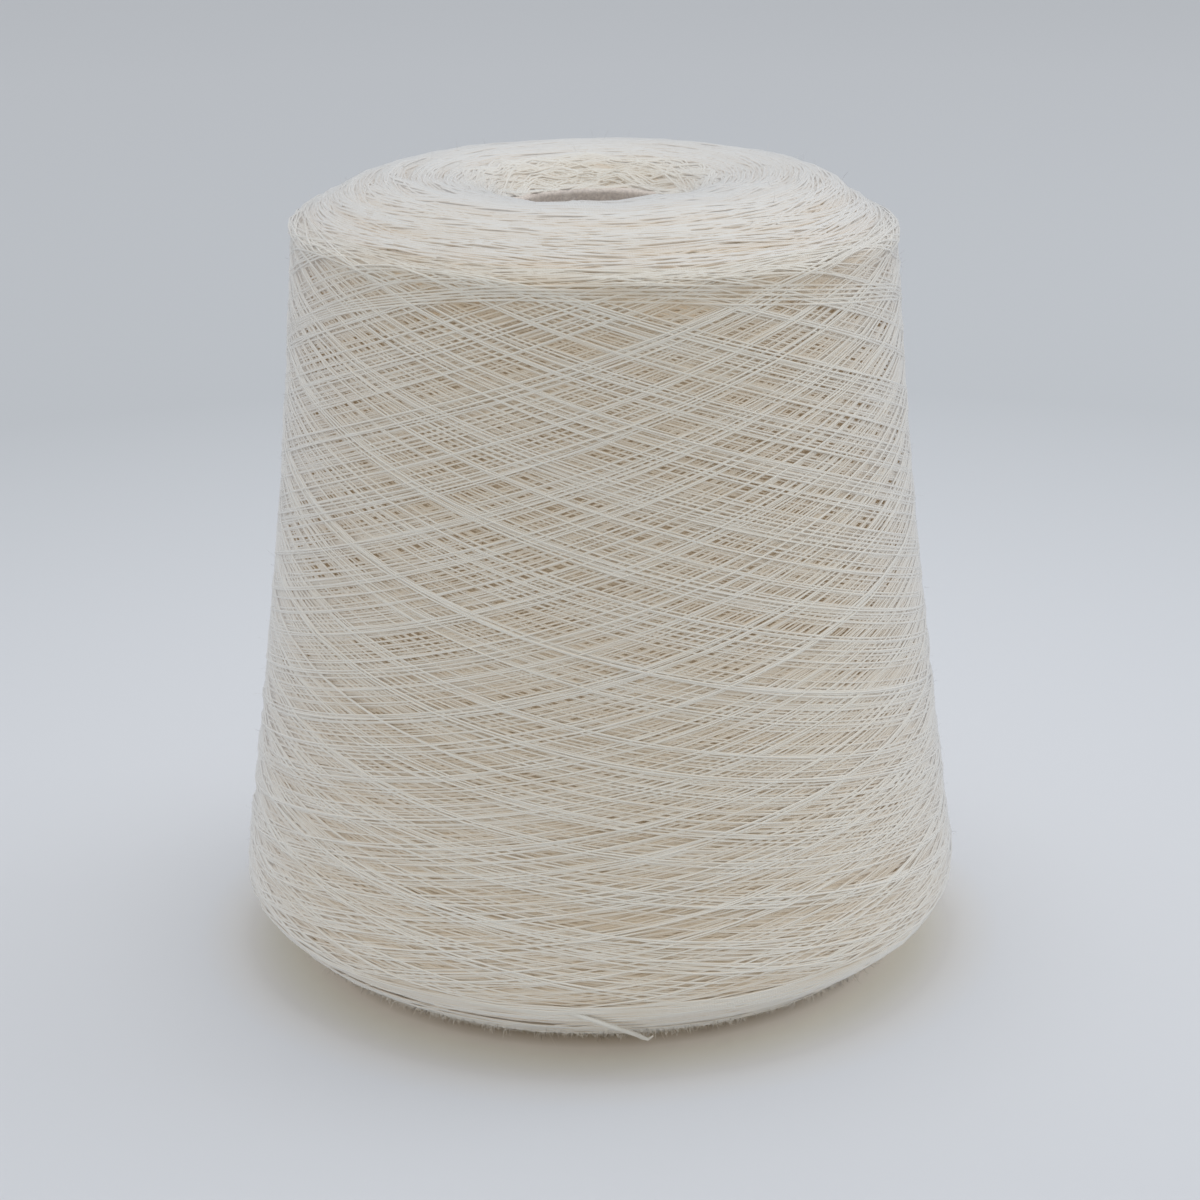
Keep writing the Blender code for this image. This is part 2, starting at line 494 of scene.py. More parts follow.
@dataclass(frozen=True)
class InnerYarnFinish:
    """The yarn beneath the strands, seen only through their gaps: tan copies of the ecru yarn's
    colours as painted shade for lying beneath them, darker still in the gaps between its threads,
    with a painted glow.
    """

    pattern: Pattern
    # Painted shade: tan light and patch colours for yarn under the strands, and a darker colour for
    # the gaps between its threads.
    light: Colour = (0.72, 0.64, 0.51, 1.0)
    patch: Colour = (0.66, 0.57, 0.43, 1.0)
    dark: Colour = (0.50, 0.40, 0.285, 1.0)
    # Painted glow: light that the yarn beneath emits in its shade.
    painted_glow: Colour = (0.10, 0.070, 0.041, 1.0)

    def build(self, effects: Effects) -> bpy.types.Material:
        """Make the material.

        Args:
            effects: The shared node groups.

        Returns:
            The material.
        """
        surface = Surface.new(f"inner yarn {self.pattern.value}")
        if self.pattern is Pattern.CROSSING:
            height = surface.group(effects.crossing, Swing=surface.attribute("swing"))
        else:
            height = surface.group(effects.rings, Along=surface.attribute("along"))
        patch = surface.group(
            effects.mottle, Light=self.light, Dark=self.patch, Scale=70.0, Spread=0.6
        )
        # Painted shade: the gaps between the threads take the dark colour.
        gap = surface.span(height, 0.15, 0.8, 1.0, 0.0)
        surface.bump(height, 1.0, 0.3 * MM)
        surface.put(
            Base_Color=surface.mix(gap, patch, self.dark),
            Emission_Color=self.painted_glow,
            Emission_Strength=1.0,
            Roughness=0.95,
            Specular_IOR_Level=0.1,
        )
        return surface.material


@dataclass(frozen=True)
class PaperFinish:
    """Grey recycled paper with a fine felt of fibres and the seam of its wrap."""

    name: str = "grey paper"
    light: Colour = (0.82, 0.745, 0.675, 1.0)
    dark: Colour = (0.65, 0.57, 0.50, 1.0)
    fibre: Colour = (0.40, 0.34, 0.32, 1.0)
    wrap_rise: float = 70.0 * MM
    seam_width: float = 0.012

    def build(self, effects: Effects) -> bpy.types.Material:
        """Make the material."""
        surface = Surface.new(self.name)
        patch = surface.group(
            effects.mottle, Light=self.light, Dark=self.dark, Scale=260.0, Spread=0.7
        )
        place = surface.place()
        x, y, z = surface.parts(place)
        turn = surface.math("DIVIDE", surface.math("ARCTAN2", y, x), math.tau)
        wrap = surface.math("ADD", turn, surface.math("DIVIDE", z, self.wrap_rise))
        seam = surface.span(surface.math("PINGPONG", wrap, 0.5), 0.0, self.seam_width, 1.0, 0.0)
        fibres = surface.noise(place, 1700.0, 4.0)
        speck = surface.span(fibres, 0.35, 0.62, 0.45, 0.0)
        shade = surface.math("MAXIMUM", speck, surface.math("MULTIPLY", seam, 0.5))
        surface.bump(surface.math("SUBTRACT", fibres, seam), 0.5, 0.15 * MM)
        surface.put(
            Base_Color=surface.mix(shade, patch, self.fibre),
            Roughness=0.92,
            Specular_IOR_Level=0.2,
        )
        return surface.material


@dataclass(frozen=True)
class TailFinish:
    """The soft fluffy tail of the yarn."""

    name: str = "soft yarn end"
    light: Colour = (0.77, 0.745, 0.675, 1.0)
    dark: Colour = (0.68, 0.635, 0.55, 1.0)

    def build(self, effects: Effects) -> bpy.types.Material:
        """Make the material."""
        surface = Surface.new(self.name)
        patch = surface.group(
            effects.mottle, Light=self.light, Dark=self.dark, Scale=420.0, Spread=0.6
        )
        surface.bump(surface.noise(surface.place(), 1800.0, 4.0), 0.6, 0.15 * MM)
        surface.put(Base_Color=patch, Roughness=0.95, Sheen_Weight=0.3)
        return surface.material


@dataclass(frozen=True)
class FloorFinish:
    """A pale table with painted shade: it darkens away from the cone, as the light falls off, and
    lightens a little far off; near the cone it holds a painted contact shadow at the foot, a
    painted lighter ring under the overhang and a painted warm bounce.

    The painted contact colours stand at distances from the cone's axis, where it shades the table.
    """

    name: str = "pale table"
    painted_contact_shade: tuple[tuple[float, tuple[float, float, float]], ...] = (
        (0.058, (0.50, 0.47, 0.36)),
        (0.0625, (0.81, 0.765, 0.70)),
        (0.066, (0.96, 0.91, 0.85)),
        (0.070, (0.845, 0.815, 0.74)),
        (0.074, (0.765, 0.745, 0.69)),
        (0.080, (0.665, 0.65, 0.635)),
        (0.092, (0.66, 0.667, 0.69)),
    )
    # Painted shade for the fall of the light: darker at middle reach, a little lighter far off.
    middle: Colour = (0.50, 0.51, 0.525, 1.0)
    far: Colour = (0.55, 0.555, 0.57, 1.0)
    reaches: tuple[float, float, float] = (0.12, 0.5, 1.4)

    def build(self) -> bpy.types.Material:
        """Make the material, which can be seen through from below."""
        surface = Surface.new(self.name)
        length = surface.add("VectorMath", operation="LENGTH")
        surface.feed(length.inputs[0], surface.place())
        reach = length.outputs["Value"]
        # Painted contact shadow, lighter painted ring and warm painted bounce near the cone's foot,
        # by distance from its axis.
        start, stop = self.painted_contact_shade[0][0], self.painted_contact_shade[-1][0]
        ramp = surface.add("ValToRGB")
        surface.feed(ramp.inputs[0], surface.span(reach, start, stop, 0.0, 1.0))
        stops = ramp.color_ramp.elements
        for index, (place, shade) in enumerate(self.painted_contact_shade):
            share = (place - start) / (stop - start)
            element = stops[index] if index < 2 else stops.new(share)
            element.position = share
            element.color = (*shade, 1.0)
        colour = ramp.outputs[0]
        for low, high, further in zip(self.reaches, self.reaches[1:], (self.middle, self.far)):
            colour = surface.mix(surface.span(reach, low, high, 0.0, 1.0), colour, further)
        surface.put(Base_Color=colour, Roughness=0.9, Specular_IOR_Level=0.1)
        seen = surface.fill(
            surface.add("MixShader"),
            surface.add("NewGeometry").outputs["Backfacing"],
            surface.shader.outputs[0],
            surface.add("BsdfTransparent").outputs[0],
        )
        surface.feed(surface.tree.nodes["Material Output"].inputs["Surface"], seen)
        return surface.material


# ---------------------------------------------------------------------------
# The studio
# ---------------------------------------------------------------------------


@dataclass(frozen=True)
class StudioCamera:
    """The camera, where it stood for the photo."""

    place: tuple[float, float, float] = (0.505 * MM, -601.97 * MM, 277.91 * MM)
    pitch: float = 18.463
    roll: float = 0.529
    lens: float = 85.43
    sensor: float = 36.0

    def build(self) -> bpy.types.Object:
        """Make the camera and use it for the scene."""
        data = bpy.data.cameras.new("camera")
        data.lens = self.lens
        data.sensor_width = self.sensor
        data.clip_start = 0.02
        data.clip_end = 60.0
        camera = bpy.data.objects.new("camera", data)
        turn = Matrix.Rotation(math.radians(90.0 - self.pitch), 4, "X")
        roll = Matrix.Rotation(math.radians(-self.roll), 4, "Z")
        camera.matrix_world = Matrix.Translation(self.place) @ turn @ roll
        bpy.context.scene.collection.objects.link(camera)
        bpy.context.scene.camera = camera
        return camera


@dataclass(frozen=True)
class SoftLight:
    """One square soft box that points at the cone."""

    name: str
    place: tuple[float, float, float]
    size: float
    power: float
    colour: tuple[float, float, float] = (1.0, 1.0, 1.0)
    aim: tuple[float, float, float] = (0.0, 0.0, 0.08)

    def build(self) -> bpy.types.Object:
        """Make the light."""
        data = bpy.data.lights.new(self.name, "AREA")
        data.shape = "SQUARE"
        data.size = self.size
        data.energy = self.power
        data.color = self.colour
        light = bpy.data.objects.new(self.name, data)
        way = Vector(self.aim) - Vector(self.place)
        turn = way.to_track_quat("-Z", "Y").to_matrix().to_4x4()
        light.matrix_world = Matrix.Translation(self.place) @ turn
        bpy.context.scene.collection.objects.link(light)
        return light


@dataclass(frozen=True)
class Studio:
    """The pale table, the soft boxes and the light of the room."""

    floor_radius: float = 12.0
    room: Colour = (0.66, 0.685, 0.71, 1.0)
    room_strength: float = 1.2
    lights: tuple[SoftLight, ...] = (
        SoftLight("over", (0.1, 0.22, 1.3), 1.2, 3.6, (0.985, 0.985, 1.02)),
        SoftLight("right", (1.3, 0.3, 0.6), 0.9, 3.4, (0.88, 0.94, 1.0)),
        SoftLight("left", (-1.3, 0.3, 0.6), 0.9, 0.25, (0.88, 0.94, 1.0)),
    )

    def build(self) -> bpy.types.Object:
        """Make the lights, the room's light and the table.

        Returns:
            The table.
        """
        bpy.context.scene.view_settings.view_transform = "Standard"
        world = bpy.data.worlds.new("room")
        world.use_nodes = True
        shade = world.node_tree.nodes["Background"]
        shade.inputs[0].default_value = self.room
        shade.inputs[1].default_value = self.room_strength
        bpy.context.scene.world = world
        for light in self.lights:
            light.build()
        deselect()
        bpy.ops.mesh.primitive_circle_add(vertices=96, radius=self.floor_radius, fill_type="NGON")
        table = bpy.context.object
        table.name = "table"
        table.data.materials.append(FloorFinish().build())
        return table


# ---------------------------------------------------------------------------
# The turned outline and the strands on it
# ---------------------------------------------------------------------------


@dataclass
class Outline:
    """The turned outline of the wound yarn.

    A place on it is how far it lies along the line from the foot, up the side and over the dome
    to the hole, with an angle about the axis and a lift off the surface.
    """

    side: tuple[Row, ...] = (
        (46.0, 0.0),
        (56.0, 0.9),
        (66.0, 3.7),
        (73.4, 8.6),
        (78.6, 13.6),
        (80.0, 18.0),
        (79.4, 25.5),
        (77.7, 37.0),
        (75.6, 53.0),
        (72.6, 77.0),
        (69.8, 101.0),
        (67.4, 125.0),
        (65.5, 149.0),
        (64.7, 160.0),
    )
    dome: tuple[Row, ...] = (
        (65.2, 161.4),
        (64.6, 163.0),
        (62.0, 164.3),
        (58.0, 166.8),
        (52.0, 170.4),
        (45.0, 172.5),
        (38.0, 172.9),
        (30.0, 172.1),
        (24.6, 170.6),
        (21.6, 168.6),
        (20.1, 167.0),
        (18.7, 166.6),
        (17.4, 166.1),
    )
    lean: float = 0.9 * MM
    ripple: float = 0.25 * MM
    hollow: float = 0.65 * MM
    lowest: float = 0.3 * MM
    step: float = 0.25
    along: np.ndarray = field(init=False)
    line: np.ndarray = field(init=False)
    normal: np.ndarray = field(init=False)
    side_end: float = field(init=False)

    def __post_init__(self) -> None:
        """Sample the line and its normals."""
        lower = smooth_line(self.side, self.step)
        upper = smooth_line(self.dome, self.step)
        self.line = np.vstack([lower, upper]) * MM
        steps = np.linalg.norm(np.diff(self.line, axis=0), axis=1)
        self.along = np.concatenate([[0.0], np.cumsum(steps)])
        self.side_end = float(self.along[len(lower) - 1])
        way = np.gradient(self.line, self.along, axis=0)
        window = np.hanning(21)
        window /= window.sum()
        padded = np.pad(way, ((10, 10), (0, 0)), mode="edge")
        way = np.stack([np.convolve(padded[:, axis], window, "valid") for axis in (0, 1)], axis=1)
        way /= np.linalg.norm(way, axis=1)[:, None]
        self.normal = np.stack([way[:, 1], -way[:, 0]], axis=1)

    @property
    def end(self) -> float:
        """The whole length of the line."""
        return float(self.along[-1])

    def radius(self, along: np.ndarray) -> np.ndarray:
        """The outline's radius at places along it."""
        return np.interp(along, self.along, self.line[:, 0])

    def height(self, along: np.ndarray) -> np.ndarray:
        """The outline's height at places along it."""
        return np.interp(along, self.along, self.line[:, 1])

    def at_height(self, height: np.ndarray) -> np.ndarray:
        """Where the side has given heights. A height over its top counts on along the dome."""
        rising = self.along <= self.side_end
        top = self.line[rising, 1][-1]
        place = np.interp(height, self.line[rising, 1], self.along[rising])
        return place + np.maximum(height - top, 0.0)

    def at_radius(self, radius: float) -> float:
        """Where the dome has a given radius."""
        falling = self.along > self.side_end + 2.0 * MM
        return float(np.interp(-radius, -self.line[falling, 0], self.along[falling]))

    def tilt(self, along: np.ndarray) -> tuple[np.ndarray, np.ndarray]:
        """The outward and the upward part of the unit normals at places along the outline."""
        out, up = (np.interp(along, self.along, part) for part in self.normal.T)
        return out, up

    def sag(self, radius: np.ndarray, height: np.ndarray, turn: np.ndarray) -> np.ndarray:
        """How much lower the yarn lies, as the shoulder leans and the dome ripples.

        Args:
            radius: The outline's radius.
            height: The outline's height.
            turn: Angles about the axis.

        Returns:
            The drops.
        """
        above = ease(148.0 * MM, 161.0 * MM, height)
        front = np.angle(np.exp(1j * (turn + math.pi / 2.0)))
        near = 0.35 + 0.65 * ease(-0.4, 0.6, np.cos(front))
        ripple = np.sin(11.0 * front) + 0.6 * np.sin(5.0 * front + 2.0)
        sag = self.ripple * near * ease(54.0 * MM, 42.0 * MM, radius) * ripple
        fine = ease(40.0 * MM, 30.0 * MM, radius) * near * np.sin(23.0 * front + 1.0)
        hollow = ease(44.0 * MM, 31.0 * MM, radius) * np.exp(-(((front + 0.55) / 0.5) ** 2))
        lean = self.lean * ease(48.0 * MM, 62.0 * MM, radius) * np.cos(turn)
        return above * (lean + sag + 0.8 * self.ripple * fine + self.hollow * hollow)

    def places(
        self, along: np.ndarray, turn: np.ndarray, lift: np.ndarray
    ) -> tuple[np.ndarray, np.ndarray]:
        """Points and outward normals.

        Args:
            along: Places along the outline.
            turn: Angles about the axis, in radians from +X.
            lift: Heights off the surface.

        Returns:
            The points and the unit normals, one row each.
        """
        out, up = self.tilt(along)
        radius, height = self.radius(along), self.height(along)
        cos, sin = np.cos(turn), np.sin(turn)
        reach = radius + out * lift
        rise = np.maximum(height + up * lift - self.sag(radius, height, turn), self.lowest)
        points = np.stack([reach * cos, reach * sin, rise], axis=1)
        return points, np.stack([out * cos, out * sin, up], axis=1)


@dataclass
class Strand:
    """One laid strand: places along the outline, angles, lifts, radius and tone."""

    along: np.ndarray
    turn: np.ndarray
    lift: np.ndarray
    radius: float
    tone: float


@dataclass
class Lay:
    """The height of all laid yarn over the outline, and the way that new strands rest on it."""

    outline: Outline
    rows_step: float = 0.15 * MM
    columns: int = 1200
    sample: float = 0.33 * MM
    press: float = 0.24 * MM
    bend_radius: float = 14.0 * MM
    dive_run: float = 6.0 * MM
    crest: float = 0.9
    top: np.ndarray = field(init=False)

    def __post_init__(self) -> None:
        """Start with a bare surface."""
        rows = int(self.outline.end / self.rows_step) + 4
        self.top = np.zeros((rows, self.columns), np.float32)

    def cells(self, along: np.ndarray, turn: np.ndarray) -> tuple[np.ndarray, np.ndarray]:
        """The rows and the columns of places."""
        column = np.round(turn / math.tau * self.columns).astype(int) % self.columns
        return np.round(along / self.rows_step).astype(int), column

    def around(self, along: np.ndarray, turn: np.ndarray) -> np.ndarray:
        """The heights at places and in the rows beside them, one line for each row."""
        row, column = self.cells(along, turn)
        rows = [np.clip(row + k, 0, len(self.top) - 1) for k in (-1, 0, 1)]
        return np.stack([self.top[row, column] for row in rows])

    def lay(
        self, along: np.ndarray, turn: np.ndarray, radius: float, tone: float, dive: float = 0.0
    ) -> Strand:
        """Lay a strand on what is there.

        Args:
            along: Places along the outline, one sample step apart.
            turn: Angles about the axis.
            radius: The strand's radius.
            tone: The strand's tone from 0 to 1.
            dive: How far its two ends go down.

        Returns:
            The laid strand.
        """
        under = self.around(along, turn).max(axis=0)
        count = len(under) // 3
        coarse = under[: count * 3].reshape(-1, 3).max(axis=1) - self.press
        unit = 3.0 * self.sample
        rest = upper_hull(coarse, unit * unit / (2.0 * self.bend_radius))
        at = np.arange(len(along)) / 3.0 - 1.0 / 3.0
        lift = np.interp(at, np.arange(count), rest) + radius
        if dive:
            run = np.minimum(np.arange(len(along)), np.arange(len(along))[::-1]) * self.sample
            lift -= dive * (1.0 - ease(0.0, self.dive_run, run))
        row, column = self.cells(along, turn)
        for k in (-2, -1, 0, 1, 2):
            offset = (row + k) * self.rows_step - along
            near = (np.abs(offset) < radius) & (row + k >= 0) & (row + k < len(self.top))
            rise = np.sqrt(np.maximum(radius * radius - offset * offset, 0.0))
            spot = (row[near] + k, column[near])
            self.top[spot] = np.maximum(self.top[spot], (lift + self.crest * rise)[near])
        return Strand(along, turn, lift, radius, tone)


@dataclass
class Settled:
    """The laid yarn once all of it is on: how it sits about the outline, and what shows.

    Its broad mounds and dips are pressed out, so that the yarn keeps to the outline.
    """

    lay: Lay
    high: float = 0.50 * MM
    deep: float = 2.2 * MM
    hidden: float = 0.36 * MM
    # Depths at which the painted shade of deep-lying yarn is full, on the side and at the ends.
    dark_depth: float = 1.6 * MM
    end_dark_depth: float = 2.3 * MM
    side_share: float = 0.75
    foot_share: float = 0.45
    dome_share: float = 0.54
    hole_share: float = 0.75
    near_top: float = 94.0
    cell: int = 12
    margin: float = 4.5 * MM
    level: np.ndarray = field(init=False)
    mounds: np.ndarray = field(init=False)

    def __post_init__(self) -> None:
        """Measure the level of the yarn in each row, and its mounds and dips by cells."""
        self.level = self.smooth(np.percentile(self.lay.top, self.near_top, axis=1), 0, 3, "edge")
        rows, columns = self.lay.top.shape[0] // self.cell, self.lay.columns // self.cell
        over = (self.lay.top - self.level[:, None])[: rows * self.cell]
        over = over.reshape(rows, self.cell, columns, self.cell)
        mounds = self.smooth(np.percentile(over, self.near_top, axis=(1, 3)), 0, 3, "edge")
        self.mounds = self.smooth(mounds, 1, 2, "wrap")

    @staticmethod
    def smooth(values: np.ndarray, axis: int, reach: int, mode: str) -> np.ndarray:
        """Smooth an array along one axis, with its ends held or wrapped."""
        window = np.hanning(2 * reach + 3)[1:-1]
        pad = [(0, 0)] * values.ndim
        pad[axis] = (reach, reach)
        padded = np.pad(values, pad, mode=mode)
        return np.apply_along_axis(np.convolve, axis, padded, window / window.sum(), "valid")

    def share(self, along: np.ndarray) -> np.ndarray:
        """How far the pull of the yarn above leaves heights as they were."""
        outline = self.lay.outline
        shares = (
            (9.0 * MM, self.foot_share),
            (24.0 * MM, self.side_share),
            (outline.side_end + 4.0 * MM, self.side_share),
            (outline.side_end + 14.0 * MM, self.dome_share),
            (outline.end - 14.0 * MM, self.dome_share),
            (outline.end - 7.0 * MM, self.hole_share),
        )
        return np.interp(along, *zip(*shares))

    def painted_shade_for_depth(self, along: np.ndarray, off: np.ndarray) -> np.ndarray:
        """How much painted shade places get for how deep they lie, from 0 to 1."""
        side_end = self.lay.outline.side_end
        depths = (
            (14.0 * MM, self.end_dark_depth),
            (36.0 * MM, self.dark_depth),
            (side_end, self.dark_depth),
            (side_end + 12.0 * MM, self.end_dark_depth),
        )
        dark_depth = np.interp(along, *zip(*depths))
        return np.clip(-off / self.share(along) / dark_depth, 0.0, 1.0) ** 1.5

    def off(self, along: np.ndarray, turn: np.ndarray, lift: np.ndarray) -> np.ndarray:
        """Heights off the outline of laid places.

        Args:
            along: Places along the outline.
            turn: Their angles about the axis.
            lift: Their heights when laid.

        Returns:
            Their heights off the outline.
        """
        rows, columns = self.mounds.shape
        at = along / self.lay.rows_step
        row = np.clip(at / self.cell - 0.5, 0.0, rows - 1.001)
        column = turn / math.tau * columns - 0.5
        low, left = np.floor(row).astype(int), np.floor(column).astype(int)
        up, over = row - low, column - left
        left, right = left % columns, (left + 1) % columns
        lower = (1.0 - over) * self.mounds[low, left] + over * self.mounds[low, right]
        upper = (1.0 - over) * self.mounds[low + 1, left] + over * self.mounds[low + 1, right]
        off = lift - np.interp(at, np.arange(len(self.level)), self.level)
        off -= (1.0 - up) * lower + up * upper
        limit = np.where(off > 0.0, self.high, self.deep)
        return self.share(along) * limit * np.tanh(off / limit)

    def showing(self, strand: Strand, floor: float) -> list[slice]:
        """The stretches of a strand that show from outside.

        Args:
            strand: The laid strand.
            floor: How low under the outline the form beneath lies.

        Returns:
            Ranges of its samples, each with a margin at both ends.
        """
        cover = self.lay.around(strand.along, strand.turn).min(axis=0)
        shown = strand.lift + self.lay.crest * strand.radius >= cover - self.hidden
        shown &= self.off(strand.along, strand.turn, strand.lift) + strand.radius > -floor
        reach = int(self.margin / self.lay.sample)
        near = np.convolve(shown, np.ones(2 * reach + 1))[reach : reach + len(shown)] > 0.5
        edges = np.flatnonzero(np.diff(np.concatenate([[0], near.astype(int), [0]])))
        pairs = zip(edges[::2], edges[1::2])
        return [slice(start, stop) for start, stop in pairs if stop - start > reach]


@dataclass
class StrandMesh:
    """Joins many strands into one mesh of three-sided closed tubes.

    A corner of the profile is its places aside and above in radii, and the angle of its normal.
    """

    name: str
    settled: Settled
    floor: float
    step: float = 7.0 * MM
    row_length: float = 0.36
    bake_gap: float = 1.0 * MM
    # Painted shade added at the two lower corners of each tube.
    edge_shade: float = 0.7
    swell: float = 0.07
    swell_run: float = 5.3 * MM
    profile: tuple[tuple[float, float, float], ...] = (
        (0.0, 0.85, 90.0),
        (-1.0, -0.35, 145.0),
        (1.0, -0.35, 35.0),
    )
    points: list[np.ndarray] = field(default_factory=list)
    normals: list[np.ndarray] = field(default_factory=list)
    form: list[np.ndarray] = field(default_factory=list)
    quads: list[np.ndarray] = field(default_factory=list)
    caps: list[np.ndarray] = field(default_factory=list)
    painted_shade: list[np.ndarray] = field(default_factory=list)
    tone: list[np.ndarray] = field(default_factory=list)
    strand_uv: list[np.ndarray] = field(default_factory=list)
    bake_at: list[np.ndarray] = field(default_factory=list)
    run: float = 0.0
    count: int = 0

    @property
    def sides(self) -> int:
        """How many sides a tube has."""
        return len(self.profile)

    def add(self, strand: Strand) -> None:
        """Add what shows of a strand.

        Args:
            strand: The laid strand.
        """
        for part in self.settled.showing(strand, self.floor):
            self.add_part(strand, part)

    def add_part(self, strand: Strand, part: slice) -> None:
        """Add one stretch of a strand.

        Args:
            strand: The laid strand.
            part: The range of its samples.
        """
        sample = self.settled.lay.sample
        stride = max(1, round(self.step / sample))
        keep = np.unique(np.append(np.arange(part.start, part.stop, stride), part.stop - 1))
        along, turn = strand.along[keep], strand.turn[keep]
        off = self.settled.off(along, turn, strand.lift[keep])
        # Painted shade for how deep the stretch lies below the level of the yarn.
        painted_shade = self.settled.painted_shade_for_depth(along, off)
        centre, out = self.settled.lay.outline.places(along, turn, off)
        place = keep * sample
        swell = 1.0 + self.swell * np.sin(place / self.swell_run + 40.0 * strand.tone)
        self.add_tube(centre, out, strand.radius * swell, painted_shade, strand.tone, place)

    def add_tube(
        self,
        centre: np.ndarray,
        out: np.ndarray,
        radius: np.ndarray,
        painted_shade: np.ndarray,
        tone: float,
        place: np.ndarray,
    ) -> None:
        """Add a closed tube.

        Args:
            centre: The middle of each ring.
            out: The way off the surface at each ring.
            radius: The radius of each ring.
            painted_shade: The painted shade of each ring, for how deep it lies, from 0 to 1.
            tone: The tube's tone from 0 to 1.
            place: How far along the strand each ring is.
        """
        self.form.append(np.repeat(out, self.sides, axis=0))
        ahead = np.gradient(centre, axis=0)
        ahead /= np.linalg.norm(ahead, axis=1)[:, None]
        across = np.cross(ahead, out)
        across /= np.linalg.norm(across, axis=1)[:, None]
        out = np.cross(across, ahead)
        rings, normals, shade = [], [], []
        for side, (aside, above, angle) in enumerate(self.profile):
            rings.append(centre + radius[:, None] * (aside * across + above * out))
            turned = math.radians(angle)
            normals.append(math.cos(turned) * across + math.sin(turned) * out)
            # Painted shade: the two lower corners take more of the deep colour than the top.
            shade.append(painted_shade + (0.0 if side == 0 else self.edge_shade))
        ring_count = len(centre)
        base = self.count + self.sides * np.arange(ring_count - 1)
        for side in range(self.sides):
            other = (side + 1) % self.sides
            ring = [base + side, base + side + self.sides, base + other + self.sides, base + other]
            self.quads.append(np.stack(ring, axis=1))
            self.fold(place, side)
        self.caps.append(self.count + np.array([0, 1, 2]))
        self.caps.append(self.count + self.sides * (ring_count - 1) + np.array([2, 1, 0]))
        self.points.append(np.stack(rings, axis=1).reshape(-1, 3))
        self.normals.append(np.stack(normals, axis=1).reshape(-1, 3))
        self.painted_shade.append(np.stack(shade, axis=1).ravel())
        self.tone.append(np.full(ring_count * self.sides, tone))
        self.count += ring_count * self.sides
        self.run += place[-1] - place[0] + self.bake_gap

    def fold(self, place: np.ndarray, side: int) -> None:
        """Note where one side of a stretch lies on the two UV maps.

        Args:
            place: How far along the strand each ring is.
            side: The side's number.
        """
        start, stop = place[:-1], place[1:]
        low, high = (np.full_like(start, (side + k) / self.sides) for k in (0, 1))
        self.strand_uv.append(self.square(start / MM, stop / MM, low, high))
        shift = self.run - place[0]
        ends = [shift + start, shift + stop, np.full_like(start, side)]
        self.bake_at.append(np.stack(ends, axis=1))

    @staticmethod
    def square(
        left: np.ndarray, right: np.ndarray, low: np.ndarray, high: np.ndarray
    ) -> np.ndarray:
        """The four corners of each quad on a UV map."""
        corners = [(left, low), (right, low), (right, high), (left, high)]
        return np.stack([np.stack(corner, axis=1) for corner in corners], axis=1)

    def build(self, material: bpy.types.Material) -> bpy.types.Object:
        """Make the mesh and its object.

        Args:
            material: The yarn's finish.

        Returns:
            The piece.
        """
        points = np.vstack(self.points)
        quads = np.vstack(self.quads)
        caps = np.stack(self.caps)
        mesh = bpy.data.meshes.new(self.name)
        mesh.vertices.add(len(points))
        mesh.vertices.foreach_set("co", points.astype(np.float32).ravel())
        corners = np.concatenate([quads.ravel(), caps.ravel()]).astype(np.int32)
        mesh.loops.add(len(corners))
        mesh.loops.foreach_set("vertex_index", corners)
        cap_starts = 4 * len(quads) + 3 * np.arange(len(caps))
        starts = np.concatenate([4 * np.arange(len(quads)), cap_starts])
        mesh.polygons.add(len(starts))
        mesh.polygons.foreach_set("loop_start", starts.astype(np.int32))
        mesh.polygons.foreach_set("use_smooth", np.ones(len(starts), bool))
        mesh.update(calc_edges=True)
        mesh.normals_split_custom_set_from_vertices(np.vstack(self.normals))
        # The painted shade for depth and at the tubes' lower corners, the tone, and the outline's
        # normal for the painted fuzz glow.
        for name, values in (("painted_shade", self.painted_shade), ("tone", self.tone), ("form", self.form)):
            write_values(mesh, name, np.concatenate(values))
        self.write_uv(mesh, STRAND_UV, np.vstack(self.strand_uv), len(caps))
        self.write_uv(mesh, BAKE_UV, self.bake_corners(), len(caps))
        mesh.materials.append(material)
        thing = bpy.data.objects.new(self.name, mesh)
        bpy.context.scene.collection.objects.link(thing)
        return thing

    def bake_corners(self) -> np.ndarray:
        """The corners of every side on the bake map, where the stretches follow on in rows."""
        ends = np.vstack(self.bake_at)
        rows = math.ceil(ends[:, 1].max() / self.row_length)
        row = np.floor(ends[:, 0] / self.row_length)
        left = (ends[:, 0] / self.row_length - row) * 0.96 + 0.01
        right = left + (ends[:, 1] - ends[:, 0]) / self.row_length * 0.96
        low = (row + 0.15 + 0.7 * ends[:, 2] / self.sides) / rows
        high = (row + 0.15 + 0.7 * (ends[:, 2] + 1) / self.sides) / rows
        return self.square(left, right, low, high)

    @staticmethod
    def write_uv(mesh: bpy.types.Mesh, name: str, squares: np.ndarray, caps: int) -> None:
        """Write a UV map: the sides' corners, with the end caps at the first side's corner."""
        layer = mesh.uv_layers.new(name=name)
        corners = squares.reshape(-1, 2)
        both = np.vstack([corners, np.repeat(corners[:1], caps * 3, axis=0)])
        layer.data.foreach_set("uv", both.astype(np.float32).ravel())


# ---------------------------------------------------------------------------
# How the yarn was wound
# ---------------------------------------------------------------------------


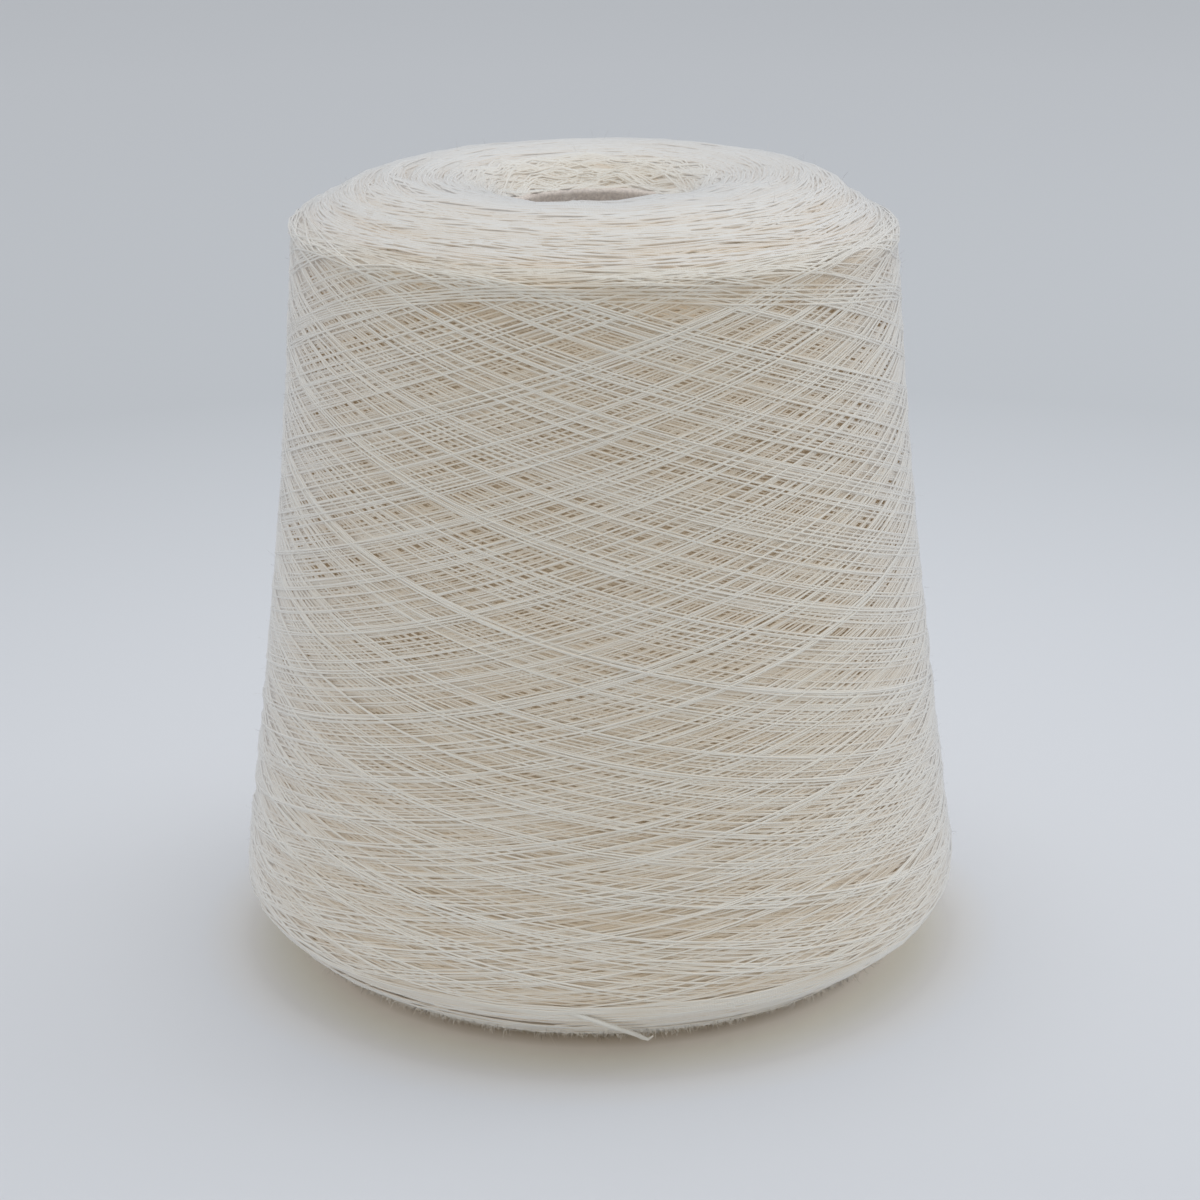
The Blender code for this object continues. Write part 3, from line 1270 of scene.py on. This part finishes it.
@dataclass
class SideWinding:
    """The crossing turns of the side, laid up and down while the cone turns."""

    lay: Lay
    strokes: int = 600
    steepest: float = 0.344
    full_reach: float = 95.0 * MM
    low_share: float = 0.20
    foot: float = 14.0 * MM
    head: float = 167.5 * MM
    swing: float = 6.0 * MM
    middle: float = 90.0 * MM
    radius: float = 0.20 * MM
    buried_part: float = 0.6
    buried_radius: float = 0.84
    short_strokes: float = 0.1
    turns_between: float = 0.37
    samples: int = 1400
    seed: int = 3

    def slope(
        self,
        height: np.ndarray,
        foot: float,
        head: float,
        steepest: float,
        swing: float,
        low_share: float,
    ) -> np.ndarray:
        """The tangent of the turn's angle at given heights.

        Args:
            height: Heights between the two ends.
            foot: Where the strand turns back at the bottom.
            head: Where it turns back at the top.
            steepest: The tangent in the upper part.
            swing: How far below the head it starts to turn.
            low_share: The share of the full reach over which it turns at the bottom.

        Returns:
            The tangents.
        """
        share = np.clip((height - foot) / self.full_reach, 0.0, 1.0)
        start = low_share**0.75 * np.sqrt(share / low_share)
        rise = np.where(share > low_share, share**0.75, start)
        rise = np.maximum(rise, np.sqrt(low_share) * np.minimum(1.0, np.sqrt(share / 0.04)))
        return steepest * rise * np.minimum(1.0, np.sqrt(np.maximum(head - height, 0.0) / swing))

    def stroke(
        self, foot: float, head: float, steepest: float, swing: float, low_share: float
    ) -> tuple[np.ndarray, np.ndarray, np.ndarray]:
        """One stroke from foot to head: its heights, its angles and its run."""
        phase = (np.arange(self.samples) + 0.5) / self.samples * math.pi
        height = foot + (head - foot) * (1.0 - np.cos(phase)) / 2.0
        climb = (head - foot) * math.pi / 2.0 * np.sin(phase) / self.samples
        radius = self.lay.outline.radius(self.lay.outline.at_height(height))
        round_run = climb / self.slope(height, foot, head, steepest, swing, low_share)
        turn = np.cumsum(round_run / radius)
        return height, turn, np.cumsum(np.hypot(round_run, climb))

    def swing_at(self, height: np.ndarray) -> np.ndarray:
        """The angle that a mean stroke has turned by at given heights."""
        heights, turn, _ = self.stroke(
            self.foot, self.head, self.steepest, self.swing, self.low_share
        )
        return np.interp(height, heights, turn)

    def strands(self) -> Iterator[Strand]:
        """Lay the strokes in order, one strand up and down at a time."""
        rng = np.random.default_rng(self.seed)
        place = 0.0
        for stroke in range(self.strokes):
            buried = stroke < self.buried_part * self.strokes
            head = self.head - abs(rng.normal(0.0, 2.6)) * MM
            if rng.random() < self.short_strokes:
                head -= rng.uniform(3.0, 10.0) * MM
            swing = rng.uniform(3.0, 8.0) * MM
            low_share = rng.uniform(0.06, 0.36)
            halves = []
            for _ in ("up", "down"):
                foot = self.foot + rng.normal(0.0, 1.3) * MM
                if buried:
                    foot = rng.uniform(2.0 * MM, self.foot)
                steepest = self.steepest * (1.0 + rng.normal(0.0, 0.03))
                halves.append(self.stroke(foot, head, steepest, swing, low_share))
            (height, turn, run), (height_down, turn_down, run_down) = halves
            turn = place + turn - np.interp(self.middle, height, turn)
            height = np.concatenate([height, height_down[::-1]])
            turn = np.concatenate([turn, turn[-1] + turn_down[-1] - turn_down[::-1]])
            run = np.concatenate([run, run[-1] + self.lay.sample + run_down[-1] - run_down[::-1]])
            at = np.arange(run[0], run[-1], self.lay.sample)
            along = self.lay.outline.at_height(np.interp(at, run, height))
            radius = self.radius * (self.buried_radius if buried else 1.0)
            radius *= 1.0 + rng.normal(0.0, 0.06)
            yield self.lay.lay(along, np.interp(at, run, turn), radius, float(rng.random()))
            drift = 0.010 * math.sin(math.tau * stroke / 70.0)
            drift += 0.005 * math.sin(math.tau * stroke / 26.0 + 1.0)
            place += math.tau * (self.turns_between + drift + rng.normal(0.0, 0.0015))


@dataclass
class EndTurns:
    """Families of near-circular turns, where the yarn turned back at an end of the cone."""

    lay: Lay
    low: float
    high: float
    families: int
    members: tuple[int, int]
    pitch: float
    length: tuple[float, float]
    sway: float
    wave: tuple[float, float]
    skew: float
    dive: float
    step: float
    radius: float
    loosening: float = 0.45
    bow: float = 0.0
    wiggle: float = 0.04 * MM
    inside_first: bool = False
    seed: int = 11

    def strands(self) -> Iterator[Strand]:
        """Lay the families in random order."""
        rng = np.random.default_rng(self.seed)
        outline = self.lay.outline
        for family in range(self.families):
            share = family * 0.61803 + rng.normal(0.0, 0.02)
            if self.inside_first:
                share = min(1.0 - family / self.families + abs(rng.normal(0.0, 0.04)), 0.999)
            centre = self.pick(share % 1.0)
            radius = float(outline.radius(centre))
            length = min(rng.uniform(*self.length), 4.0 * radius)
            wave = rng.uniform(*self.wave)
            phase, spread_phase = rng.uniform(0.0, math.tau, 2)
            skew = rng.normal(0.0, self.skew)
            start = math.tau * (family * 0.75488 + rng.normal(0.0, 0.03))
            sway = self.sway * rng.uniform(0.4, 1.3)
            bow = self.bow * rng.uniform(0.4, 1.5)
            count = int(rng.integers(self.members[0], self.members[1] + 1))
            tone = rng.random()
            for member in range(count):
                offset = (member - (count - 1) / 2.0) * self.pitch
                part = length * rng.uniform(0.75, 1.0)
                shift = rng.normal(0.0, 3.0 * MM)
                run = np.arange(-part / 2.0, part / 2.0, self.lay.sample) + shift
                spread = 1.0 + self.loosening * np.sin(math.tau * run / (1.7 * wave) + spread_phase)
                own = self.wiggle * np.sin(math.tau * run / (9.0 * MM) + rng.uniform(0.0, math.tau))
                along = centre + skew * run + sway * np.sin(math.tau * run / wave + phase)
                along -= bow * (run / (0.5 * length)) ** 2
                along = 0.5 * MM + np.abs(along + offset * spread + own - 0.5 * MM)
                along = outline.end - 0.3 * MM - np.abs(outline.end - 0.3 * MM - along)
                yield self.lay.lay(
                    along,
                    start + run / radius,
                    self.radius * (1.0 + rng.normal(0.0, 0.07)),
                    float(np.clip(tone + rng.normal(0.0, 0.2), 0.0, 1.0)),
                    self.dive,
                )

    def pick(self, share: float) -> float:
        """The place along the outline that has a given share of the surface below it."""
        places = np.linspace(self.low, self.high, 200)
        surface = np.cumsum(self.lay.outline.radius(places))
        return float(np.interp(share * surface[-1], surface, places))


@dataclass
class LateTurns:
    """A bundle laid last along a route of angles from the front, in degrees, and heights, in mm.

    The route is smoothed as if unrolled from a drum of the radius given as around.
    """

    lay: Lay
    route: tuple[tuple[float, float], ...]
    members: int = 5
    pitch: float = 0.74 * MM
    radius: float = 0.22 * MM
    around: float = 66.0
    dive: float = 0.3 * MM
    seed: int = 21

    def strands(self) -> Iterator[Strand]:
        """Lay the bundle's members one above another."""
        rng = np.random.default_rng(self.seed)
        outline = self.lay.outline
        route = [(math.radians(turn) * self.around, height) for turn, height in self.route]
        line = smooth_line(route, 0.4)
        turn, height = line[:, 0] / self.around, line[:, 1] * MM
        steps = np.linalg.norm(np.diff(line, axis=0), axis=1)
        run = np.concatenate([[0.0], np.cumsum(steps)]) * MM
        at = np.arange(0.0, run[-1], self.lay.sample)
        for member in range(self.members):
            offset = (member - (self.members - 1) / 2.0) * self.pitch
            spread = 1.0 + 0.35 * np.sin(at / (34.0 * MM) + rng.uniform(0.0, 0.6))
            along = outline.at_height(np.interp(at, run, height)) + offset * spread
            radius = self.radius * (1.0 + rng.normal(0.0, 0.05))
            from_x = np.interp(at, run, turn) - math.pi / 2.0
            yield self.lay.lay(along, from_x, radius, float(rng.random()), self.dive)


@dataclass
class StrayFibres:
    """Fine fibres that stand off the yarn along one stretch of the outline."""

    outline: Outline
    low: float
    high: float
    count: int
    length: tuple[float, float] = (1.0 * MM, 4.0 * MM)
    radius: float = 0.028 * MM
    stand: tuple[float, float] = (0.15, 0.9)
    rings: int = 3
    seed: int = 31

    def add_to(self, mesh: StrandMesh) -> None:
        """Add the fibres to a mesh.

        Args:
            mesh: The mesh of the fibres.
        """
        rng = np.random.default_rng(self.seed)
        share = np.linspace(0.0, 1.0, self.rings)
        for _ in range(self.count):
            along = np.full(self.rings, rng.uniform(self.low, self.high))
            turn = np.full(self.rings, rng.uniform(0.0, math.tau))
            centre, out = self.outline.places(along, turn, np.full(self.rings, 0.1 * MM))
            length = rng.uniform(*self.length)
            round_way = np.array([-math.sin(turn[0]), math.cos(turn[0]), 0.0])
            up_way = np.cross(round_way, out[0])
            way = rng.normal(0.0, 1.0) * round_way + rng.normal(0.0, 0.5) * up_way
            way += rng.uniform(*self.stand) * out[0]
            way /= np.linalg.norm(way)
            curl = rng.normal(0.0, 0.45, 3) - 0.35 * out[0]
            centre = centre + length * (share[:, None] * way + (share**2)[:, None] * curl * 0.6)
            centre[:, 2] = np.maximum(centre[:, 2], 0.1 * MM)
            radius = self.radius * (1.0 - 0.6 * share)
            tone = float(rng.random())
            mesh.add_tube(centre, out, radius, np.zeros(self.rings), tone, share * length)


def extrude_rings(name: str, rows: Sequence[Row], segments: int) -> bpy.types.Object:
    """Extrude a ring through rows of radius and height, and bridge the last to the first.

    Args:
        name: The piece's name.
        rows: Radius and height of each ring.
        segments: How many edges a ring has.

    Returns:
        The closed turned piece, at the origin.
    """
    deselect()
    radius, height = rows[0]
    bpy.ops.mesh.primitive_circle_add(vertices=segments, radius=radius, location=(0.0, 0.0, height))
    thing = bpy.context.object
    thing.name = name
    bpy.ops.object.transform_apply(location=True, rotation=True, scale=True)
    bpy.ops.object.mode_set(mode="EDIT")
    bpy.ops.mesh.select_all(action="SELECT")
    for next_radius, next_height in rows[1:]:
        rise, share = next_height - height, next_radius / radius
        bpy.ops.mesh.extrude_edges_move(TRANSFORM_OT_translate={"value": (0.0, 0.0, rise)})
        bpy.ops.transform.resize(value=(share, share, 1.0), center_override=(0.0, 0.0, next_height))
        radius, height = next_radius, next_height
    bpy.ops.mesh.select_mode(type="EDGE")
    bpy.ops.mesh.select_all(action="DESELECT")
    bpy.ops.mesh.select_non_manifold()
    bpy.ops.mesh.bridge_edge_loops()
    bpy.ops.mesh.select_all(action="SELECT")
    bpy.ops.mesh.normals_make_consistent(inside=False)
    bpy.ops.object.mode_set(mode="OBJECT")
    deselect()
    thing.select_set(True)
    bpy.context.view_layer.objects.active = thing
    bpy.ops.object.shade_smooth_by_angle(angle=math.radians(40.0))
    return thing


@dataclass
class PaperCore:
    """The tapered paper tube, extruded ring by ring, with a soft nose and a chamfered foot."""

    base_radius: float = 37.4 * MM
    slope: float = math.tan(math.radians(5.95))
    height: float = 166.0 * MM
    wall: float = 3.0 * MM
    nose_round: float = 1.1 * MM
    nose_angles: tuple[float, ...] = (67.5, 45.0, 22.5, 0.0)
    chamfer: float = 0.4 * MM
    first_row: float = 8.0 * MM
    wall_rows: int = 12
    segments: int = 128

    def outer(self, height: float) -> float:
        """The outer radius at a height."""
        return self.base_radius - height * self.slope

    def rows(self) -> list[Row]:
        """Radius and height of each ring, up the outside and down the inside."""
        inner = -self.wall
        shoulder = self.height - self.nose_round
        heights = np.linspace(self.first_row, shoulder, self.wall_rows).tolist()
        rows = [(self.outer(0.0) - self.chamfer, 0.0), (self.outer(self.chamfer), self.chamfer)]
        rows += [(self.outer(height), height) for height in heights]
        tip = self.outer(self.height)
        halves = (
            (tip - self.nose_round, self.nose_round, self.nose_angles),
            (tip + inner + self.nose_round, -self.nose_round, self.nose_angles[::-1]),
        )
        for centre, reach, angles in halves:
            for angle in np.radians(angles).tolist():
                drop = self.nose_round * (1.0 - math.cos(angle))
                rows.append((centre + reach * math.sin(angle), self.height - drop))
        rows += [(self.outer(height) + inner, height) for height in heights[::-1]]
        rows.append((self.outer(self.chamfer) + inner, self.chamfer))
        rows.append((self.outer(0.0) + inner + self.chamfer, 0.0))
        return rows

    def build(self, material: bpy.types.Material) -> bpy.types.Object:
        """Make the tube."""
        tube = extrude_rings("paper_tube", self.rows(), self.segments)
        tube.data.materials.append(material)
        return tube


@dataclass
class InnerWinding:
    """The wound yarn beneath the strands, turned from a ring and closed down the bore."""

    outline: Outline
    core: PaperCore
    side_sink: float = 1.6 * MM
    end_sink: float = 1.4 * MM
    foot_sink: float = 0.9 * MM
    segments: int = 112
    bore_gap: float = 0.35 * MM
    bore_rows: int = 6
    end_gap: float = 2.8 * MM
    row_step: float = 3.0 * MM
    crossing: Row = (14.0 * MM, 158.0 * MM)
    crossing_radius: float = 50.0 * MM

    def rows(self) -> list[Row]:
        """Radius and height of each ring, from the foot up, over and down the bore."""
        outline = self.outline
        along = np.linspace(0.0, outline.end - self.end_gap, int(outline.end / self.row_step))
        sink = self.foot_sink + (self.side_sink - self.foot_sink) * ease(2.0 * MM, 18.0 * MM, along)
        over = ease(outline.side_end - 4.0 * MM, outline.side_end + 4.0 * MM, along)
        sink += (self.end_sink - self.side_sink) * over
        out, up = outline.tilt(along)
        radius = outline.radius(along) - out * sink
        height = np.maximum(outline.height(along) - up * sink, outline.lowest)
        rows = list(zip(radius.tolist(), height.tolist()))
        top = self.core.height + self.bore_gap
        for level in np.linspace(top, outline.lowest, self.bore_rows).tolist():
            rows.append((self.core.outer(level) + self.bore_gap, level))
        return rows

    def build(
        self, finishes: Sequence[bpy.types.Material], winding: SideWinding
    ) -> bpy.types.Object:
        """Extrude the form and note on it how the yarn runs.

        Args:
            finishes: The crossing finish and the ring finish.
            winding: The winding of the side.

        Returns:
            The piece.
        """
        form = extrude_rings("inner_winding", self.rows(), self.segments)
        for finish in finishes:
            form.data.materials.append(finish)
        place = np.zeros(len(form.data.vertices) * 3, np.float32)
        form.data.vertices.foreach_get("co", place)
        place = place.reshape(-1, 3).astype(float)
        radius, height = np.hypot(place[:, 0], place[:, 1]), place[:, 2]
        line = self.outline.line
        gap = (radius[:, None] - line[None, :, 0]) ** 2 + (height[:, None] - line[None, :, 1]) ** 2
        along = self.outline.along[gap.argmin(axis=1)]
        place[:, 2] -= self.outline.sag(radius, height, np.arctan2(place[:, 1], place[:, 0]))
        form.data.vertices.foreach_set("co", place.astype(np.float32).ravel())
        write_values(form.data, "along", along / MM)
        write_values(form.data, "swing", winding.swing_at(height))
        for face in form.data.polygons:
            middle = face.center
            on_side = self.crossing[0] < middle.z < self.crossing[1]
            outer = math.hypot(middle.x, middle.y) > self.crossing_radius
            face.material_index = 0 if on_side and outer else 1
        return form


@dataclass
class LooseEnd:
    """The tail end of the yarn, which leaves the bottom band at the front.

    Its route is given as angles from the front, in degrees, radii and heights, in mm.
    """

    diameter: float = 1.0 * MM
    step: float = 1.6
    thinned: Row = (0.8, 0.35)
    route: tuple[tuple[float, float, float], ...] = (
        (-16.0, 78.0, 15.4),
        (-11.0, 78.1, 15.2),
        (-6.0, 78.5, 14.8),
        (-2.6, 79.2, 13.9),
        (0.6, 78.8, 12.0),
        (3.4, 76.2, 9.3),
        (6.0, 72.8, 6.2),
        (7.8, 70.8, 4.2),
        (8.7, 70.9, 4.9),
    )

    def line(self) -> np.ndarray:
        """The route's points, in metres."""
        stations = [
            (radius * math.sin(math.radians(turn)), -radius * math.cos(math.radians(turn)), height)
            for turn, radius, height in self.route
        ]
        return smooth_line(stations, self.step) * MM

    def build(self, material: bpy.types.Material) -> bpy.types.Object:
        line = self.line()
        curve = bpy.data.curves.new("tail_end", "CURVE")
        curve.dimensions = "3D"
        curve.bevel_depth = self.diameter / 2.0
        curve.bevel_resolution = 3
        curve.use_fill_caps = True
        spline = curve.splines.new("POLY")
        spline.points.add(len(line) - 1)
        for point, place in zip(spline.points, line.tolist()):
            point.co = (*place, 1.0)
        spline.points[-2].radius, spline.points[-1].radius = self.thinned
        curve.materials.append(material)
        strand = bpy.data.objects.new("tail_end", curve)
        bpy.context.scene.collection.objects.link(strand)
        seat(strand, Slot.YARN_END, "loose_end")
        return strand


@dataclass
class WoundYarn:
    """All the wound yarn: the form beneath and the strands over it."""

    outline: Outline
    core: PaperCore
    side_step: float = 6.5 * MM
    side_steps: tuple[tuple[str, float], ...] = (
        ("side_turns_inner", 9.5 * MM),
        ("side_turns_lower", 9.0 * MM),
        ("side_turns_middle", 8.0 * MM),
        ("side_turns_upper", 6.5 * MM),
        ("side_turns_outer", 6.5 * MM),
    )
    dome_edge_shade: float = 0.6
    shoulder_route: tuple[Row, ...] = (
        (-170, 96),
        (-125, 119),
        (-80, 141),
        (-50, 153.0),
        (-20, 159.6),
        (0, 160.6),
        (17, 159.9),
        (45, 156.3),
        (77, 149.4),
        (120, 133.5),
        (165, 112),
    )

    def at_height(self, height: float) -> float:
        """Where the side has a given height, in mm."""
        return float(self.outline.at_height(height * MM))

    def end_turns(self, lay: Lay) -> dict[str, EndTurns]:
        """The kinds of near-circular turns by piece name."""
        outline = self.outline
        return {
            "dome_turns": EndTurns(
                lay,
                low=self.at_height(159.0),
                high=outline.end - 4.0 * MM,
                families=380,
                members=(3, 6),
                pitch=0.86 * MM,
                length=(80 * MM, 150 * MM),
                sway=0.45 * MM,
                wave=(40 * MM, 90 * MM),
                skew=0.065,
                dive=0.25 * MM,
                step=7.0 * MM,
                radius=0.225 * MM,
                loosening=0.35,
                bow=5.5 * MM,
                inside_first=True,
                seed=11,
            ),
            "hole_turns": EndTurns(
                lay,
                low=outline.at_radius(27.5 * MM),
                high=outline.end - 1.5 * MM,
                families=180,
                members=(1, 4),
                pitch=0.55 * MM,
                length=(14 * MM, 34 * MM),
                sway=1.2 * MM,
                wave=(9 * MM, 19 * MM),
                skew=0.06,
                dive=0.7 * MM,
                step=2.3 * MM,
                radius=0.25 * MM,
                wiggle=0.12 * MM,
                seed=12,
            ),
            "rim_turns": EndTurns(
                lay,
                low=outline.end - 4.5 * MM,
                high=outline.end - 0.2 * MM,
                families=90,
                members=(1, 4),
                pitch=0.5 * MM,
                length=(8 * MM, 30 * MM),
                sway=1.3 * MM,
                wave=(7 * MM, 18 * MM),
                skew=0.08,
                dive=0.6 * MM,
                step=2.5 * MM,
                radius=0.25 * MM,
                wiggle=0.12 * MM,
                seed=15,
            ),
            "band_turns": EndTurns(
                lay,
                low=7.0 * MM,
                high=self.at_height(15.0),
                families=54,
                members=(8, 16),
                pitch=0.40 * MM,
                length=(150 * MM, 380 * MM),
                sway=0.08 * MM,
                wave=(90 * MM, 190 * MM),
                skew=0.003,
                dive=0.25 * MM,
                step=8.5 * MM,
                radius=0.21 * MM,
                loosening=0.12,
                bow=1.6 * MM,
                seed=13,
            ),
            "foot_turns": EndTurns(
                lay,
                low=0.8 * MM,
                high=14.0 * MM,
                families=80,
                members=(5, 10),
                pitch=0.42 * MM,
                length=(80 * MM, 200 * MM),
                sway=0.15 * MM,
                wave=(60 * MM, 120 * MM),
                skew=0.006,
                dive=0.3 * MM,
                step=9.0 * MM,
                radius=0.22 * MM,
                loosening=0.2,
                seed=14,
            ),
        }

    def stray_fibres(self) -> list[StrayFibres]:
        """The stretches of the outline where fibres stand off."""
        outline = self.outline
        foot, shoulder = self.at_height(12.0), self.at_height(150.0)
        hole = outline.end - 8.0 * MM
        return [
            StrayFibres(
                outline,
                self.at_height(1.5),
                self.at_height(7.5),
                count=2200,
                length=(0.8 * MM, 2.4 * MM),
                radius=0.055 * MM,
                stand=(0.4, 1.6),
                seed=31,
            ),
            StrayFibres(
                outline,
                self.at_height(2.5),
                self.at_height(6.5),
                count=5600,
                length=(0.6 * MM, 1.5 * MM),
                radius=0.06 * MM,
                stand=(0.5, 2.0),
                rings=2,
                seed=35,
            ),
            StrayFibres(outline, foot, shoulder, 800, (0.8 * MM, 2.5 * MM), seed=32),
            StrayFibres(outline, shoulder, hole, 600, (0.8 * MM, 3.0 * MM), seed=33),
            StrayFibres(outline, hole, outline.end, 300, seed=34),
        ]

    def lay_strands(
        self, lay: Lay, winding: SideWinding
    ) -> tuple[dict[str, list[Strand]], dict[str, float]]:
        """Lay all the strands, one kind after another.

        Args:
            lay: The height field that they are laid on.
            winding: The winding of the side.

        Returns:
            The strands by piece name, and how far apart the rings of each piece's tubes are.
        """
        kinds = self.end_turns(lay)
        laid = {"dome_turns": list(kinds["dome_turns"].strands())}
        side = list(winding.strands())
        laid |= {name: list(kind.strands()) for name, kind in kinds.items() if name not in laid}
        count = len(self.side_steps)
        for part, (name, _) in enumerate(self.side_steps):
            laid[name] = side[part * len(side) // count : (part + 1) * len(side) // count]
        laid["shoulder_turns"] = list(LateTurns(lay, self.shoulder_route).strands())
        steps = {name: kind.step for name, kind in kinds.items()} | dict(self.side_steps)
        return laid, steps

    def finishes(self, effects: Effects) -> dict[str, bpy.types.Material]:
        """The finishes of the strands by piece name, with the usual one under an empty name."""
        usual = YarnFinish().build(effects)
        # The yarn in the hole emits a faint painted bounce where it lies high, to lift the shade in
        # the hollow.
        hole_with_painted_bounce = YarnFinish(
            name="ecru yarn in the hole", painted_bounce=(0.056, 0.054, 0.056, 1.0)
        ).build(effects)
        # The dome's copy: whiter, cooler light colours, partly for its fluffier fibres and partly
        # as painted light on the top that faces the lamps, with its own painted shade where it lies
        # deep and a stronger painted glow.
        dome = YarnFinish(
            name="ecru yarn of the dome",
            light=(0.912, 0.914, 0.900, 1.0),
            warm=(0.905, 0.889, 0.842, 1.0),
            deep=(0.60, 0.475, 0.33, 1.0),
            painted_glow=(0.135, 0.096, 0.056, 1.0),
        ).build(effects)
        return {"": usual, "dome_turns": dome, "hole_turns": hole_with_painted_bounce, "rim_turns": hole_with_painted_bounce}

    def build(self, effects: Effects) -> list[bpy.types.Object]:
        """Lay the strands, then join them into pieces.

        Args:
            effects: The shared node groups.

        Returns:
            The pieces, the form beneath first.
        """
        lay = Lay(self.outline)
        winding = SideWinding(lay)
        laid, steps = self.lay_strands(lay, winding)
        settled = Settled(lay)
        inner = InnerWinding(self.outline, self.core)
        # The form beneath takes tan copies of the yarn's colours as painted shade for lying under
        # the strands, paler under the end turns, each with a painted glow.
        pale = InnerYarnFinish(
            Pattern.RINGS,
            light=(0.86, 0.80, 0.70, 1.0),
            patch=(0.82, 0.75, 0.63, 1.0),
            dark=(0.72, 0.63, 0.50, 1.0),
            painted_glow=(0.13, 0.108, 0.078, 1.0),
        )
        under = [InnerYarnFinish(Pattern.CROSSING).build(effects), pale.build(effects)]
        pieces = [seat(inner.build(under, winding), Slot.YARN, "yarn_body")]
        finishes = self.finishes(effects)
        for name, strands in laid.items():
            mesh = StrandMesh(name, settled, inner.side_sink, steps.get(name, self.side_step))
            if name == "dome_turns":
                mesh.edge_shade = self.dome_edge_shade
            for strand in strands:
                mesh.add(strand)
            piece = seat(mesh.build(finishes.get(name, finishes[""])), Slot.YARN, "yarn_body")
            log.info("%s: %d strands, %d faces", name, len(strands), len(piece.data.polygons))
            pieces.append(piece)
        fibres = StrandMesh("stray_fibres", settled, inner.side_sink)
        for stretch in self.stray_fibres():
            stretch.add_to(fibres)
        pieces.append(seat(fibres.build(finishes[""]), Slot.YARN, "yarn_body"))
        return pieces


def main() -> None:
    """Build the studio, the tail end, the paper core and the wound yarn, in that order."""
    logging.basicConfig(level=logging.INFO, format="%(name)s: %(message)s")
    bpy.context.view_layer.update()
    StudioCamera().build()
    Studio().build()
    effects = Effects()
    tail = LooseEnd().build(TailFinish().build(effects))
    log.info("%s laid", tail.name)
    core = PaperCore()
    tube = seat(core.build(PaperFinish().build(effects)), Slot.PAPER, "paper_core")
    log.info("%s made", tube.name)
    pieces = WoundYarn(Outline(), core).build(effects)
    log.info("%d pieces of yarn", len(pieces))
    deselect()


if __name__ == "__main__":
    main()
